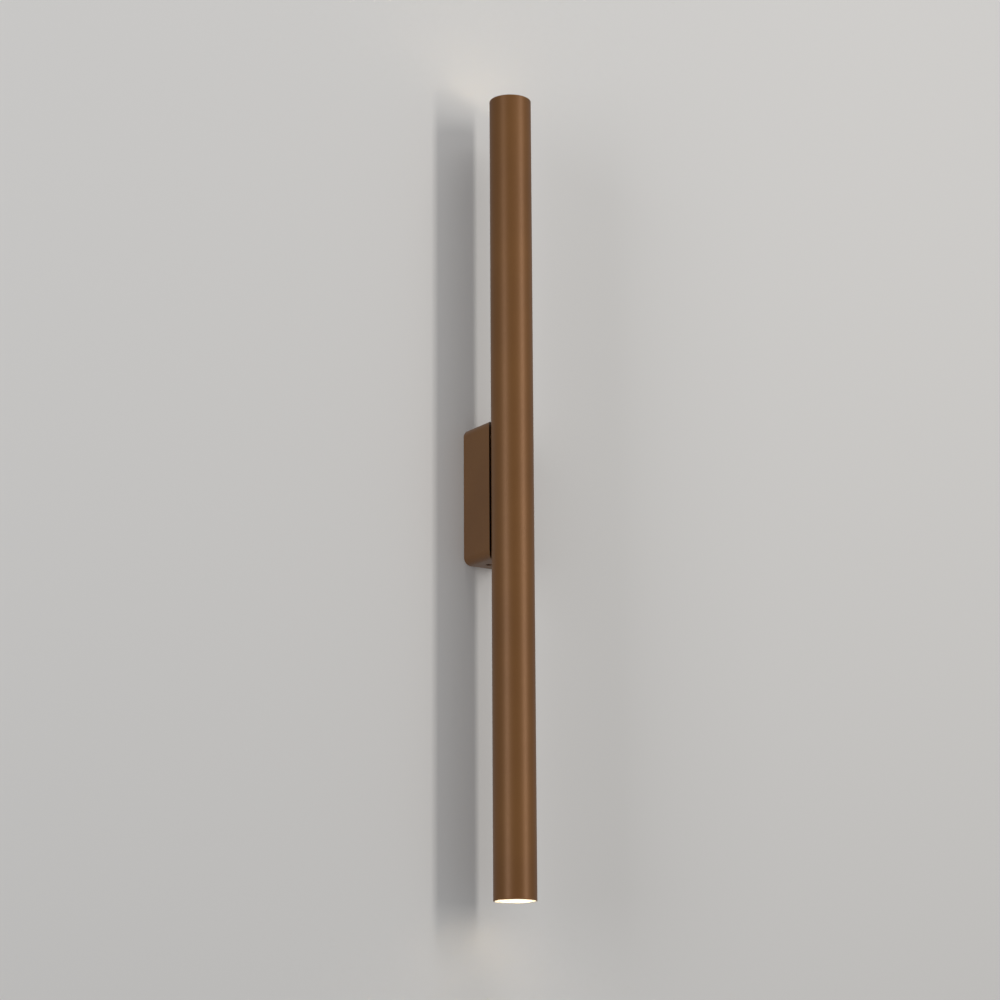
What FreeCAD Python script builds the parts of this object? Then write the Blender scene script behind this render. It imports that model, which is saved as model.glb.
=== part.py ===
import FreeCAD, Part
import math
import os
from types import SimpleNamespace

import Sketcher
from FreeCAD import Placement, Rotation, Vector

# Tube wall light: a long tube that shines up and down, held off the wall by a small housing.
# Millimetres. X to the right and Z up as seen from the front; the wall is the plane Y = 0 and the
# light stands out of it towards -Y. The origin is the middle of the wall bracket's back face.

document = FreeCAD.newDocument("TubeWallLight")
sheet = document.addObject("Spreadsheet::Sheet", "Sizes")

driving_sizes = {
    # the tube and where it stands
    "tube_diameter": 52,
    "tube_wall": 1.5,
    "tube_length": 1000,
    "axis_to_wall": 72,
    "rim_chamfer": 0.4,
    # the housing behind it
    "housing_width": 49.5,
    "housing_height": 172,
    "housing_depth": 57.8,
    "housing_corner": 10,
    "housing_wall": 2,
    "cradle_gap": 2.4,
    "boss_face": 40.6,
    "rib_offset": 10,
    "rib_thickness": 2,
    # screws that hold the tube to the housing
    "fixing_pitch": 120,
    "fixing_bore": 4.5,
    "fixing_thread": 4,
    "fixing_length": 16,
    "fixing_head": 8,
    "fixing_head_height": 2.6,
    "washer_diameter": 9,
    "washer_thickness": 0.8,
    "spacer_diameter": 16,
    # screw that locks the housing on its bracket
    "set_screw_out": 18,
    "set_screw_thread": 4,
    "set_screw_length": 8,
    "set_screw_access": 8,
    "set_screw_recess": 5,
    "thread_play": 0.1,
    "set_screw_boss": 10,
    # wall bracket
    "strap_thickness": 2,
    "strap_width": 36,
    "strap_height": 148,
    "strap_flange": 26,
    "bend_inside": 1,
    "wall_slot_pitch": 110,
    "wall_slot_width": 4.5,
    "wall_slot_length": 9,
    "cable_hole": 20,
    "cable_bore": 12,
    "earth_right": 11,
    "earth_up": 27,
    # carrier inside the tube
    "rail_width": 18,
    "rail_thickness": 2,
    "rail_half": 431,
    "rail_tab_out": 86,
    "rail_slot_width": 10,
    "rail_slot_length": 36,
    "clinch_shank": 5.4,
    "clip_pitch": 120,
    "clip_stem": 3.4,
    "end_plate_thickness": 1.2,
    "end_plate_skirt": 7,
    "end_plate_play": 0.4,
    # lampholder and lamp
    "holder_height": 16.8,
    "holder_flange": 4,
    "holder_flange_length": 27,
    "holder_flange_width": 14,
    "holder_block_length": 18,
    "holder_block_width": 11,
    "holder_screw_pitch": 19,
    "holder_screw": 3,
    "pin_pitch": 9,
    "pin_wire": 0.8,
    "pin_loop": 2.4,
    "pin_length": 6.5,
    "lamp_diameter": 16,
    "lamp_length": 44,
    "lamp_base": 11,
    "cover_wall": 1,
    "cover_shoulder": 4,
    "board_width": 9,
    "board_length": 27,
    "chip_side": 2.4,
    # leads and the terminal block
    "lead_diameter": 2,
    "lead_spacing": 2.5,
    "wire_bush_bore": 8,
    "wire_bush_diameter": 10,
    "wire_bush_flange": 14,
    "pole_pitch": 8.5,
    "block_length": 17,
    "block_width": 35,
    "block_height": 12,
    "block_foot": 3,
    "block_down": 31.5,
    "block_screw_pitch": 30.4,
}


class Size:
    """A length with the sheet formula that gives it."""

    def __init__(self, value, formula):
        self.value = value
        self.formula = formula

    def __add__(self, other):
        return Size(self.value + sized(other).value, f"({self.formula} + {sized(other).formula})")

    def __sub__(self, other):
        return Size(self.value - sized(other).value, f"({self.formula} - {sized(other).formula})")

    def __mul__(self, other):
        return Size(self.value * sized(other).value, f"({self.formula} * {sized(other).formula})")

    def __truediv__(self, other):
        return Size(self.value / sized(other).value, f"({self.formula} / {sized(other).formula})")

    def __radd__(self, other):
        return sized(other) + self

    def __rsub__(self, other):
        return sized(other) - self

    def __neg__(self):
        return Size(-self.value, f"(-1 * {self.formula})")


def sized(number):
    return number if isinstance(number, Size) else Size(float(number), repr(float(number)))


def root(size):
    return Size(math.sqrt(size.value), f"sqrt({size.formula})")


for row, (alias, number) in enumerate(driving_sizes.items(), start=1):
    sheet.set(f"A{row}", alias)
    sheet.set(f"B{row}", str(number))
    sheet.setAlias(f"B{row}", alias)
document.recompute()
mm = SimpleNamespace(**{alias: Size(float(number), f"Sizes.{alias}")
                        for alias, number in driving_sizes.items()})

# Places that several pieces share
tube_radius = mm.tube_diameter / 2
tube_inside = tube_radius - mm.tube_wall
cradle_radius = tube_radius + mm.cradle_gap
fixing_up = mm.fixing_pitch / 2
rail_back = mm.axis_to_wall - root(tube_inside * tube_inside - mm.rail_width * mm.rail_width / 4) + 0.1
rail_face = rail_back + mm.rail_thickness
plate_top = mm.rail_half + mm.end_plate_thickness
lamp_seat = plate_top + mm.holder_height
strap_half = mm.strap_height / 2


# ---- how features are made ------------------------------------------------------------------

def bind(thing, name, size):
    """Drive one property of an object from the sheet."""
    thing.setExpression(name, sized(size).formula)


def place(thing, x=0, y=0, z=0):
    for name, size in (("x", x), ("y", y), ("z", z)):
        if sized(size).value:
            bind(thing, f"Placement.Base.{name}", size)


def new_body(label, x=0, y=0, z=0):
    body = document.addObject("PartDesign::Body", label)
    body.Label = label
    place(body, x, y, z)
    return body


def sketch_on(body, plane, name, offset=0):
    """A sketch on one of the body's origin planes, moved along that plane's normal."""
    sketch = body.newObject("Sketcher::SketchObject", name)
    for feature in body.Origin.OriginFeatures:
        if feature.Role == plane:
            sketch.AttachmentSupport = [(feature, "")]
    sketch.MapMode = "FlatFace"
    if sized(offset).value:
        bind(sketch, "AttachmentOffset.Base.z", offset)
    return sketch


def dimension(sketch, size, kind, *where):
    number = sketch.addConstraint(Sketcher.Constraint(kind, *where, size.value))
    if "Sizes." in size.formula:
        sketch.setExpression(f"Constraints[{number}]", size.formula)


def hold(sketch, curve, point, x, y):
    """Hold one point of a sketch at x, y from the sketch's origin."""
    for kind, axis, size in (("DistanceX", -2, sized(x)), ("DistanceY", -1, sized(y))):
        if size.value:
            dimension(sketch, size, kind, -1, 1, curve, point)
        else:
            sketch.addConstraint(Sketcher.Constraint("PointOnObject", curve, point, axis))


def circle(sketch, x, y, radius):
    centre = Vector(sized(x).value, sized(y).value, 0)
    curve = sketch.addGeometry(Part.Circle(centre, Vector(0, 0, 1), sized(radius).value))
    hold(sketch, curve, 3, x, y)
    dimension(sketch, sized(radius), "Radius", curve)


def arc_between(start, finish, radius, turn):
    """Arc of under a half circle from start to finish; turn is +1 to the left or -1 to the right."""
    chord = finish - start
    across = Vector(-chord.y, chord.x, 0).normalize() * turn
    centre = (start + finish) * 0.5 + across * math.sqrt(radius ** 2 - chord.Length ** 2 / 4)
    first, last = (start, finish) if turn > 0 else (finish, start)
    begin = math.atan2(first.y - centre.y, first.x - centre.x)
    end = math.atan2(last.y - centre.y, last.x - centre.x)
    if end < begin:
        end += 2 * math.pi
    return Part.ArcOfCircle(Part.Circle(centre, Vector(0, 0, 1), radius), begin, end)


def outline(sketch, corners, arcs=None):
    """Closed outline through the corners. arcs maps the number of a side to its radius and turn."""
    arcs = arcs or {}
    points = [Vector(sized(x).value, sized(y).value, 0) for x, y in corners]
    sides = []
    for number, start in enumerate(points):
        finish = points[(number + 1) % len(points)]
        if number in arcs:
            radius, turn = arcs[number]
            curve = sketch.addGeometry(arc_between(start, finish, sized(radius).value, turn))
            dimension(sketch, sized(radius), "Radius", curve)
            sides.append((curve, 1, 2) if turn > 0 else (curve, 2, 1))
        else:
            curve = sketch.addGeometry(Part.LineSegment(start, finish))
            sides.append((curve, 1, 2))
    for number, (curve, start, finish) in enumerate(sides):
        after, after_start, _ = sides[(number + 1) % len(sides)]
        sketch.addConstraint(Sketcher.Constraint("Coincident", curve, finish, after, after_start))
        hold(sketch, curve, start, *corners[number])


def rectangle(sketch, left, right, low, high):
    outline(sketch, [(left, low), (right, low), (right, high), (left, high)])


def rounded_rectangle(sketch, width, height, corner):
    across = width / 2
    up = height / 2
    corners = [(across - corner, -up), (across, -up + corner),
               (across, up - corner), (across - corner, up),
               (-across + corner, up), (-across, up - corner),
               (-across, -up + corner), (-across + corner, -up)]
    outline(sketch, corners, {0: (corner, 1), 2: (corner, 1), 4: (corner, 1), 6: (corner, 1)})


def slot(sketch, x, y, length, width, upright=True):
    """A slot with round ends, by its middle, its length over all and its width."""
    radius = sized(width) / 2
    reach = sized(length) / 2 - radius
    middle = Vector(sized(x).value, sized(y).value, 0)
    along = Vector(0, 1, 0) if upright else Vector(1, 0, 0)
    side = Vector(along.y, -along.x, 0) * radius.value
    ends = [middle + along * reach.value, middle - along * reach.value]
    begin = math.atan2(side.y, side.x)
    arcs = []
    for centre, angle in zip(ends, (begin, begin + math.pi)):
        whole = Part.Circle(centre, Vector(0, 0, 1), radius.value)
        arcs.append(sketch.addGeometry(Part.ArcOfCircle(whole, angle, angle + math.pi)))
    left = sketch.addGeometry(Part.LineSegment(ends[0] - side, ends[1] - side))
    right = sketch.addGeometry(Part.LineSegment(ends[1] + side, ends[0] + side))
    for joint in ((arcs[0], 2, left, 1), (left, 2, arcs[1], 1),
                  (arcs[1], 2, right, 1), (right, 2, arcs[0], 1)):
        sketch.addConstraint(Sketcher.Constraint("Tangent", *joint))
    sketch.addConstraint(Sketcher.Constraint("Equal", arcs[0], arcs[1]))
    dimension(sketch, radius, "Radius", arcs[0])
    for curve, sign in ((arcs[0], 1), (arcs[1], -1)):
        shift = reach * sign
        hold(sketch, curve, 3, x if upright else x + shift, y + shift if upright else y)


def pad(body, sketch, length, both=False):
    feature = body.newObject("PartDesign::Pad", f"{sketch.Name}Pad")
    feature.Profile = sketch
    feature.SideType = "Symmetric" if both else "One side"
    bind(feature, "Length", length)
    document.recompute()
    return feature


def pocket(body, sketch, length=None, both=False, forward=False):
    """Cut a sketch's outlines out of the body: against the sketch's normal, along it, or both ways."""
    before = body.Shape.Volume
    feature = body.newObject("PartDesign::Pocket", f"{sketch.Name}Pocket")
    feature.Profile = sketch
    feature.SideType = "Symmetric" if both else "One side"
    feature.Reversed = forward
    if length is None:
        feature.Type = "ThroughAll"
    else:
        bind(feature, "Length", length)
    document.recompute()
    if before - body.Shape.Volume < 1e-3:
        raise RuntimeError(f"{feature.Name} cuts nothing")
    return feature


def turned(body, sketch, axis):
    """Revolve a sketch a full turn about one of the body's origin axes."""
    feature = body.newObject("PartDesign::Revolution", f"{sketch.Name}Revolution")
    feature.Profile = sketch
    for line in body.Origin.OriginFeatures:
        if line.Role == axis:
            feature.ReferenceAxis = (line, [""])
    feature.Angle = 360
    document.recompute()
    return feature


def dress(body, kind, name, size, chosen):
    """Round or chamfer the edges whose middle the test accepts."""
    tip = body.Tip
    edges = [f"Edge{number}" for number, edge in enumerate(tip.Shape.Edges, start=1) if chosen(edge)]
    feature = body.newObject(f"PartDesign::{kind}", name)
    feature.Base = (tip, edges)
    bind(feature, "Radius" if kind == "Fillet" else "Size", size)
    document.recompute()
    return feature


def middle_near(edge, **places):
    """True where the edge's middle has the given coordinates, whatever their sign."""
    middle = edge.BoundBox.Center
    return all(abs(abs(getattr(middle, axis)) - abs(sized(at).value)) < 0.05 for axis, at in places.items())


def primitive(kind, name, x=0, y=0, z=0, turn=None, **lengths):
    thing = document.addObject(f"Part::{kind}", name)
    if turn:
        thing.Placement = Placement(Vector(), Rotation(*turn))
    for prop, size in lengths.items():
        bind(thing, prop, size)
    place(thing, x, y, z)
    return thing


outwards = (Vector(1, 0, 0), 90)    # turns a primitive's own Z towards -Y


def cut(name, base, tool):
    thing = document.addObject("Part::Cut", name)
    thing.Base = base
    thing.Tool = tool
    return thing


def fused(name, things):
    thing = document.addObject("Part::MultiFuse", name)
    thing.Shapes = things
    return thing


def together(name, things):
    """Separate solids that share one node."""
    thing = document.addObject("Part::Compound", name)
    thing.Links = things
    thing.Label = name
    return thing


def mirrored(label, source):
    """The same piece at the tube's other end."""
    thing = document.addObject("Part::Mirroring", label)
    thing.Source = source
    thing.Normal = Vector(0, 0, 1)
    thing.Label = label
    return thing


# ---- tube, housing and what joins them --------------------------------------------------------

def make_tube():
    body = new_body("tube")
    section = sketch_on(body, "XY_Plane", "TubeSection")
    circle(section, 0, -mm.axis_to_wall, tube_radius)
    circle(section, 0, -mm.axis_to_wall, tube_inside)
    pad(body, section, mm.tube_length, both=True)
    holes = sketch_on(body, "XZ_Plane", "TubeHoles", mm.axis_to_wall)
    circle(holes, 0, fixing_up, mm.fixing_bore / 2)
    circle(holes, 0, -fixing_up, mm.fixing_bore / 2)
    circle(holes, 0, 0, mm.wire_bush_diameter / 2)
    pocket(body, holes, tube_radius + 1)
    dress(body, "Chamfer", "TubeRims", mm.rim_chamfer, lambda edge: middle_near(edge, z=mm.tube_length / 2))
    return body


def make_housing_shell():
    """A shell, open to the wall, whose front is scooped out to follow the tube at an even gap."""
    body = new_body("housing_shell")
    front = sketch_on(body, "XZ_Plane", "HousingOutline")
    rounded_rectangle(front, mm.housing_width, mm.housing_height, mm.housing_corner)
    pad(body, front, mm.housing_depth + 3)
    cradle = sketch_on(body, "XY_Plane", "HousingCradle")
    circle(cradle, 0, -mm.axis_to_wall, cradle_radius)
    pocket(body, cradle, mm.housing_height + 2, both=True)

    solid = body.Tip
    back = [f"Face{number}" for number, face in enumerate(solid.Shape.Faces, start=1)
            if abs(face.BoundBox.YMin) < 1e-6]
    shell = body.newObject("PartDesign::Thickness", "HousingShell")
    shell.Base = (solid, back)
    shell.Join = "Arc"
    shell.Reversed = True
    bind(shell, "Value", mm.housing_wall)
    document.recompute()

    bosses = sketch_on(body, "XZ_Plane", "HousingBosses", mm.boss_face)
    circle(bosses, 0, fixing_up, 6)
    circle(bosses, 0, -fixing_up, 6)
    circle(bosses, 0, 0, 8)
    circle(bosses, mm.block_screw_pitch / 2, -mm.block_down, 3)
    circle(bosses, -mm.block_screw_pitch / 2, -mm.block_down, 3)
    pad(body, bosses, mm.housing_depth - mm.boss_face - 1)
    trim = sketch_on(body, "XY_Plane", "HousingCradleTrim")
    circle(trim, 0, -mm.axis_to_wall, cradle_radius)
    pocket(body, trim, mm.housing_height + 2, both=True)
    lip = sketch_on(body, "XZ_Plane", "HousingLip", mm.housing_depth)
    rectangle(lip, -mm.housing_width, mm.housing_width, -mm.housing_height, mm.housing_height)
    pocket(body, lip, 5, forward=True)

    # two ribs inside the top rest on the bracket's upper flange
    ribs = sketch_on(body, "XY_Plane", "HousingRibs", strap_half)
    for side in (-1, 1):
        inner = (mm.rib_offset - mm.rib_thickness / 2) * side
        outer = (mm.rib_offset + mm.rib_thickness / 2) * side
        rectangle(ribs, inner, outer, -mm.strap_flange + 3, -4)
    pad(body, ribs, mm.housing_height / 2 - strap_half - mm.housing_wall / 2)

    # set screw: recessed access hole in the underside, and a tapped boss above it
    floor = mm.housing_height / 2
    boss = sketch_on(body, "XY_Plane", "SetScrewBoss", -floor + mm.housing_wall / 2)
    circle(boss, 0, -mm.set_screw_out, mm.set_screw_boss / 2)
    pad(body, boss, floor - strap_half - mm.housing_wall / 2 - 3)
    access = sketch_on(body, "XY_Plane", "SetScrewAccess", -floor)
    circle(access, 0, -mm.set_screw_out, mm.set_screw_access / 2)
    pocket(body, access, mm.set_screw_recess, forward=True)
    tapped = sketch_on(body, "XY_Plane", "SetScrewThread", -floor)
    circle(tapped, 0, -mm.set_screw_out, (mm.set_screw_thread + mm.thread_play) / 2)
    pocket(body, tapped, floor - strap_half, forward=True)

    holes = sketch_on(body, "XZ_Plane", "HousingHoles", mm.boss_face - 5)
    circle(holes, 0, fixing_up, mm.fixing_bore / 2)
    circle(holes, 0, -fixing_up, mm.fixing_bore / 2)
    circle(holes, 0, 0, mm.wire_bush_diameter / 2)
    pocket(body, holes, 15, forward=True)
    pilots = sketch_on(body, "XZ_Plane", "BlockPilots", mm.boss_face)
    circle(pilots, mm.block_screw_pitch / 2, -mm.block_down, 1.3)
    circle(pilots, -mm.block_screw_pitch / 2, -mm.block_down, 1.3)
    pocket(body, pilots, 4, forward=True)
    return body


def make_housing_pieces():
    """The shell as it is welded up: a wall bent from strip, and the scooped plate let into its front."""
    shell = make_housing_shell()
    core = new_body("plate_space")
    edge = sketch_on(core, "XZ_Plane", "PlateEdge", mm.boss_face - 2)
    rounded_rectangle(edge, mm.housing_width - mm.housing_wall * 2, mm.housing_height - mm.housing_wall * 2,
                      mm.housing_corner - mm.housing_wall)
    pad(core, edge, mm.housing_depth - mm.boss_face + 4)
    plate = document.addObject("Part::Common", "cradle_plate")
    plate.Base = shell
    plate.Tool = core
    wall = cut("housing", shell, core)
    for piece in (wall, plate):
        piece.Label = piece.Name
    return [wall, plate]


def make_spacer(end, side):
    """Saddle that fills the gap round one fixing screw: hollow on the tube, round on the cradle."""
    name = f"{end}_spacer"
    low = fixing_up * side - mm.spacer_diameter / 2
    across = primitive("Cylinder", f"{name}_disc", 0, -mm.boss_face, fixing_up * side, outwards,
                       Radius=mm.spacer_diameter / 2, Height=20)
    outer = primitive("Cylinder", f"{name}_cradle", 0, -mm.axis_to_wall, low,
                      Radius=cradle_radius, Height=mm.spacer_diameter)
    inner = primitive("Cylinder", f"{name}_tube", 0, -mm.axis_to_wall, low,
                      Radius=tube_radius, Height=mm.spacer_diameter)
    hole = primitive("Cylinder", f"{name}_hole", 0, -mm.boss_face, fixing_up * side, outwards,
                     Radius=mm.fixing_bore / 2, Height=20)
    saddle = document.addObject("Part::Common", f"{name}_saddle")
    saddle.Base = cut(f"{name}_ring", outer, inner)
    saddle.Tool = across
    piece = cut(name, saddle, hole)
    piece.Label = name
    return piece


def make_pan_screw(name, x, out, z, thread, length, head, head_height, socket):
    """Pan-head screw that points away from the wall; out is the depth of the face under its head."""
    body = new_body(name, x, -out, z)
    shape = sketch_on(body, "XY_Plane", "Shape")
    edge = head_height / 3
    outline(shape, [(0, head_height), (head / 2 - edge, head_height), (head / 2, head_height - edge),
                    (head / 2, 0), (thread / 2, 0), (thread / 2, -length + 0.5), (thread / 2 - 0.5, -length),
                    (0, -length)])
    turned(body, shape, "Y_Axis")
    drive = sketch_on(body, "XZ_Plane", "Drive", -head_height)
    hexagon(drive, socket)
    pocket(body, drive, head_height * 0.6, forward=True)
    return body


def hexagon(sketch, across_flats):
    """Regular hexagon about the sketch's origin."""
    reach = across_flats / math.sqrt(3)
    flat = across_flats / 2
    outline(sketch, [(reach, 0), (reach / 2, flat), (-reach / 2, flat), (-reach, 0),
                     (-reach / 2, -flat), (reach / 2, -flat)])


def make_fixing_screws():
    under_head = mm.boss_face - mm.washer_thickness
    screws = []
    for name, side, seat in (("upper_fixing", 1, under_head - mm.washer_thickness),
                             ("lower_fixing", -1, under_head)):
        screws.append(make_pan_screw(name, 0, seat, fixing_up * side, mm.fixing_thread, mm.fixing_length,
                                     mm.fixing_head, mm.fixing_head_height, sized(2.5)))
    return together("fixing_screws", screws)


def make_ring(name, x, out, z, outer, inner, thickness):
    """Flat ring parallel to the wall; out is the depth of its face nearer the wall."""
    disc = primitive("Cylinder", f"{name}_disc", x, -out, z, outwards, Radius=outer / 2, Height=thickness)
    hole = primitive("Cylinder", f"{name}_hole", x, -out, z, outwards, Radius=inner / 2, Height=thickness)
    return cut(f"{name}_ring", disc, hole)


def make_fixing_washers():
    out = mm.boss_face - mm.washer_thickness
    rings = [make_ring("upper_washer", 0, out - mm.washer_thickness, fixing_up, mm.washer_diameter,
                       mm.fixing_bore, mm.washer_thickness),
             make_ring("lower_washer", 0, out, -fixing_up, mm.washer_diameter,
                       mm.fixing_bore, mm.washer_thickness)]
    return together("fixing_washers", rings)


def make_wire_bush():
    """Sleeve that lines the way for the leads from the housing into the tube."""
    body = new_body("wire_bush")
    shape = sketch_on(body, "XY_Plane", "Shape")
    bore = mm.wire_bush_bore / 2
    flange = mm.wire_bush_flange / 2
    face = mm.boss_face
    outline(shape, [(bore, -face + 1.2), (flange - 0.5, -face + 1.2), (flange, -face + 0.7), (flange, -face),
                    (mm.wire_bush_diameter / 2, -face), (mm.wire_bush_diameter / 2, -rail_back + 0.4),
                    (bore, -rail_back + 0.4)])
    turned(body, shape, "Y_Axis")
    return body


def make_set_screw():
    """Headless screw with a hexagon socket below and a blunt cone above, against the lower flange."""
    body = new_body("set_screw", 0, -mm.set_screw_out, -strap_half)
    radius = mm.set_screw_thread / 2
    shape = sketch_on(body, "XZ_Plane", "Shape")
    outline(shape, [(0, 0), (radius * 0.6, 0), (radius, -1), (radius, -mm.set_screw_length + 0.4),
                    (radius - 0.4, -mm.set_screw_length), (0, -mm.set_screw_length)])
    turned(body, shape, "Z_Axis")
    socket = sketch_on(body, "XY_Plane", "Socket", -mm.set_screw_length)
    hexagon(socket, sized(2))
    pocket(body, socket, 2.5, forward=True)
    return body


# ---- wall side --------------------------------------------------------------------------------

def make_wall_bracket():
    """Steel strap folded to a channel: its flanges go inside the housing's top and bottom."""
    body = new_body("wall_bracket")
    thick = mm.strap_thickness
    profile = sketch_on(body, "YZ_Plane", "StrapProfile")
    outline(profile, [(0, -strap_half), (0, strap_half), (-mm.strap_flange, strap_half),
                      (-mm.strap_flange, strap_half - thick), (-thick, strap_half - thick),
                      (-thick, -strap_half + thick), (-mm.strap_flange, -strap_half + thick),
                      (-mm.strap_flange, -strap_half)])
    pad(body, profile, mm.strap_width, both=True)
    dress(body, "Fillet", "BendsInside", mm.bend_inside,
          lambda edge: middle_near(edge, x=0, y=thick, z=strap_half - thick))
    dress(body, "Fillet", "BendsOutside", mm.bend_inside + thick,
          lambda edge: middle_near(edge, x=0, y=0, z=strap_half))
    dress(body, "Fillet", "FlangeCorners", 5,
          lambda edge: middle_near(edge, x=mm.strap_width / 2, y=mm.strap_flange, z=strap_half - thick / 2))
    holes = sketch_on(body, "XZ_Plane", "StrapHoles")
    for side in (-1, 1):
        slot(holes, 0, mm.wall_slot_pitch / 2 * side, mm.wall_slot_length, mm.wall_slot_width)
    circle(holes, 0, 0, mm.cable_hole / 2)
    circle(holes, mm.earth_right, mm.earth_up, 2)
    pocket(body, holes, thick + 1, forward=True)
    seat = sketch_on(body, "XZ_Plane", "StudSeat")
    circle(seat, mm.earth_right, mm.earth_up, 3)
    pocket(body, seat, 1, forward=True)
    return body


def make_cable_bush():
    body = new_body("cable_bush")
    shape = sketch_on(body, "XY_Plane", "Shape")
    bore = mm.cable_bore / 2
    neck = mm.cable_hole / 2
    face = mm.strap_thickness
    outline(shape, [(bore, 0), (neck, 0), (neck, -face), (neck + 2.5, -face), (neck + 2.5, -face - 1.2),
                    (neck + 0.7, -face - 3), (bore, -face - 3)])
    turned(body, shape, "Y_Axis")
    return body


def make_earth_stud():
    body = new_body("earth_stud", mm.earth_right, 0, mm.earth_up)
    shape = sketch_on(body, "XY_Plane", "Shape")
    outline(shape, [(0, 0), (3, 0), (3, -1), (2, -1), (2, -13.5), (1.5, -14), (0, -14)])
    turned(body, shape, "Y_Axis")
    return body


def make_earth_washer():
    """Toothed washer: a ring whose rim is notched all round."""
    body = new_body("earth_washer", mm.earth_right, -mm.strap_thickness, mm.earth_up)
    ring = sketch_on(body, "XZ_Plane", "Ring")
    circle(ring, 0, 0, 4)
    circle(ring, 0, 0, 2.15)
    pad(body, ring, mm.washer_thickness)
    notch = sketch_on(body, "XZ_Plane", "Notch")
    rectangle(notch, 3.2, 4.5, -0.35, 0.35)
    cutting = pocket(body, notch, mm.washer_thickness + 1, both=True)
    teeth = body.newObject("PartDesign::PolarPattern", "Teeth")
    teeth.Originals = [cutting]
    for line in body.Origin.OriginFeatures:
        if line.Role == "Y_Axis":
            teeth.Axis = (line, [""])
    teeth.Angle = 360
    teeth.Occurrences = 10
    body.Tip = teeth
    return body


def make_earth_nut():
    out = mm.strap_thickness + mm.washer_thickness
    body = new_body("earth_nut", mm.earth_right, -out, mm.earth_up)
    shape = sketch_on(body, "XZ_Plane", "Shape")
    hexagon(shape, sized(7))
    circle(shape, 0, 0, 2.02)
    pad(body, shape, 3.2)
    return body


# ---- carrier in the tube ----------------------------------------------------------------------

def make_carrier_rail():
    """Flat strip along the tube's back wall; its folded ends carry the lampholders."""
    body = new_body("carrier_rail")
    half = mm.rail_half
    thick = mm.rail_thickness
    profile = sketch_on(body, "YZ_Plane", "RailProfile")
    outline(profile, [(-rail_back, -half), (-rail_back, half), (-mm.rail_tab_out, half),
                      (-mm.rail_tab_out, half - thick), (-rail_face, half - thick),
                      (-rail_face, -half + thick), (-mm.rail_tab_out, -half + thick),
                      (-mm.rail_tab_out, -half)])
    pad(body, profile, mm.rail_width, both=True)
    dress(body, "Fillet", "FoldsInside", mm.bend_inside,
          lambda edge: middle_near(edge, x=0, y=rail_face, z=half - thick))
    dress(body, "Fillet", "FoldsOutside", mm.bend_inside + thick,
          lambda edge: middle_near(edge, x=0, y=rail_back, z=half))
    dress(body, "Fillet", "TabCorners", 4,
          lambda edge: middle_near(edge, x=mm.rail_width / 2, y=mm.rail_tab_out, z=half - thick / 2))
    holes = sketch_on(body, "XZ_Plane", "RailHoles", rail_back)
    circle(holes, 0, fixing_up, mm.clinch_shank / 2)
    circle(holes, 0, -fixing_up, mm.clinch_shank / 2)
    slot(holes, 0, 0, mm.rail_slot_length, mm.rail_slot_width)
    for step in (-3, -2, -1, 1, 2, 3):
        height = mm.clip_pitch * step
        rectangle(holes, -mm.clip_stem / 2, mm.clip_stem / 2,
                  height - mm.clip_stem / 2, height + mm.clip_stem / 2)
    pocket(body, holes, thick + 1, forward=True)
    tabs = sketch_on(body, "XY_Plane", "TabHoles")
    for side in (-1, 1):
        circle(tabs, 0, -mm.axis_to_wall + mm.holder_screw_pitch / 2 * side, mm.holder_screw / 2)
    slot(tabs, 0, -mm.axis_to_wall, 13, 5, upright=False)
    pocket(body, tabs, mm.rail_half * 2 + 2, both=True)
    return body


def make_rail_nuts():
    """Clinch nuts: a hexagon collar on the strip's inner face, its shank pressed through the strip."""
    nuts = []
    for name, side in (("upper_rail_nut", 1), ("lower_rail_nut", -1)):
        body = new_body(name, 0, -rail_back, fixing_up * side)
        shank = sketch_on(body, "XZ_Plane", "Shank")
        circle(shank, 0, 0, mm.clinch_shank / 2)
        pad(body, shank, mm.rail_thickness + 0.5)
        collar = sketch_on(body, "XZ_Plane", "Collar", mm.rail_thickness)
        hexagon(collar, sized(7.6))
        pad(body, collar, 4)
        bore = sketch_on(body, "XZ_Plane", "Bore")
        circle(bore, 0, 0, mm.fixing_thread / 2 + 0.02)
        pocket(body, bore, mm.rail_thickness + 5, forward=True)
        nuts.append(body)
    return together("rail_nuts", nuts)


def make_wire_clips():
    """Saddle clips pushed into the strip; each holds a pair of leads flat on it."""
    clips = []
    room = mm.lead_diameter + 0.1
    wall = 0.9
    for step in (-3, -2, -1, 1, 2, 3):
        name = f"clip_{step + 4}"
        height = mm.clip_pitch * step
        loop = primitive("Box", f"{name}_loop", -4, -rail_face - room - wall * 2, height - 3,
                         Length=8, Width=room + wall * 2, Height=6)
        opening = primitive("Box", f"{name}_opening", -2.8, -rail_face - room - wall, height - 3,
                            Length=5.6, Width=room, Height=6)
        stem = primitive("Box", f"{name}_stem", -mm.clip_stem / 2, -rail_face - 0.3, height - mm.clip_stem / 2,
                         Length=mm.clip_stem, Width=mm.rail_thickness + 0.3, Height=mm.clip_stem)
        clips.append(fused(name, [cut(f"{name}_frame", loop, opening), stem]))
    return together("wire_clips", clips)


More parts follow.
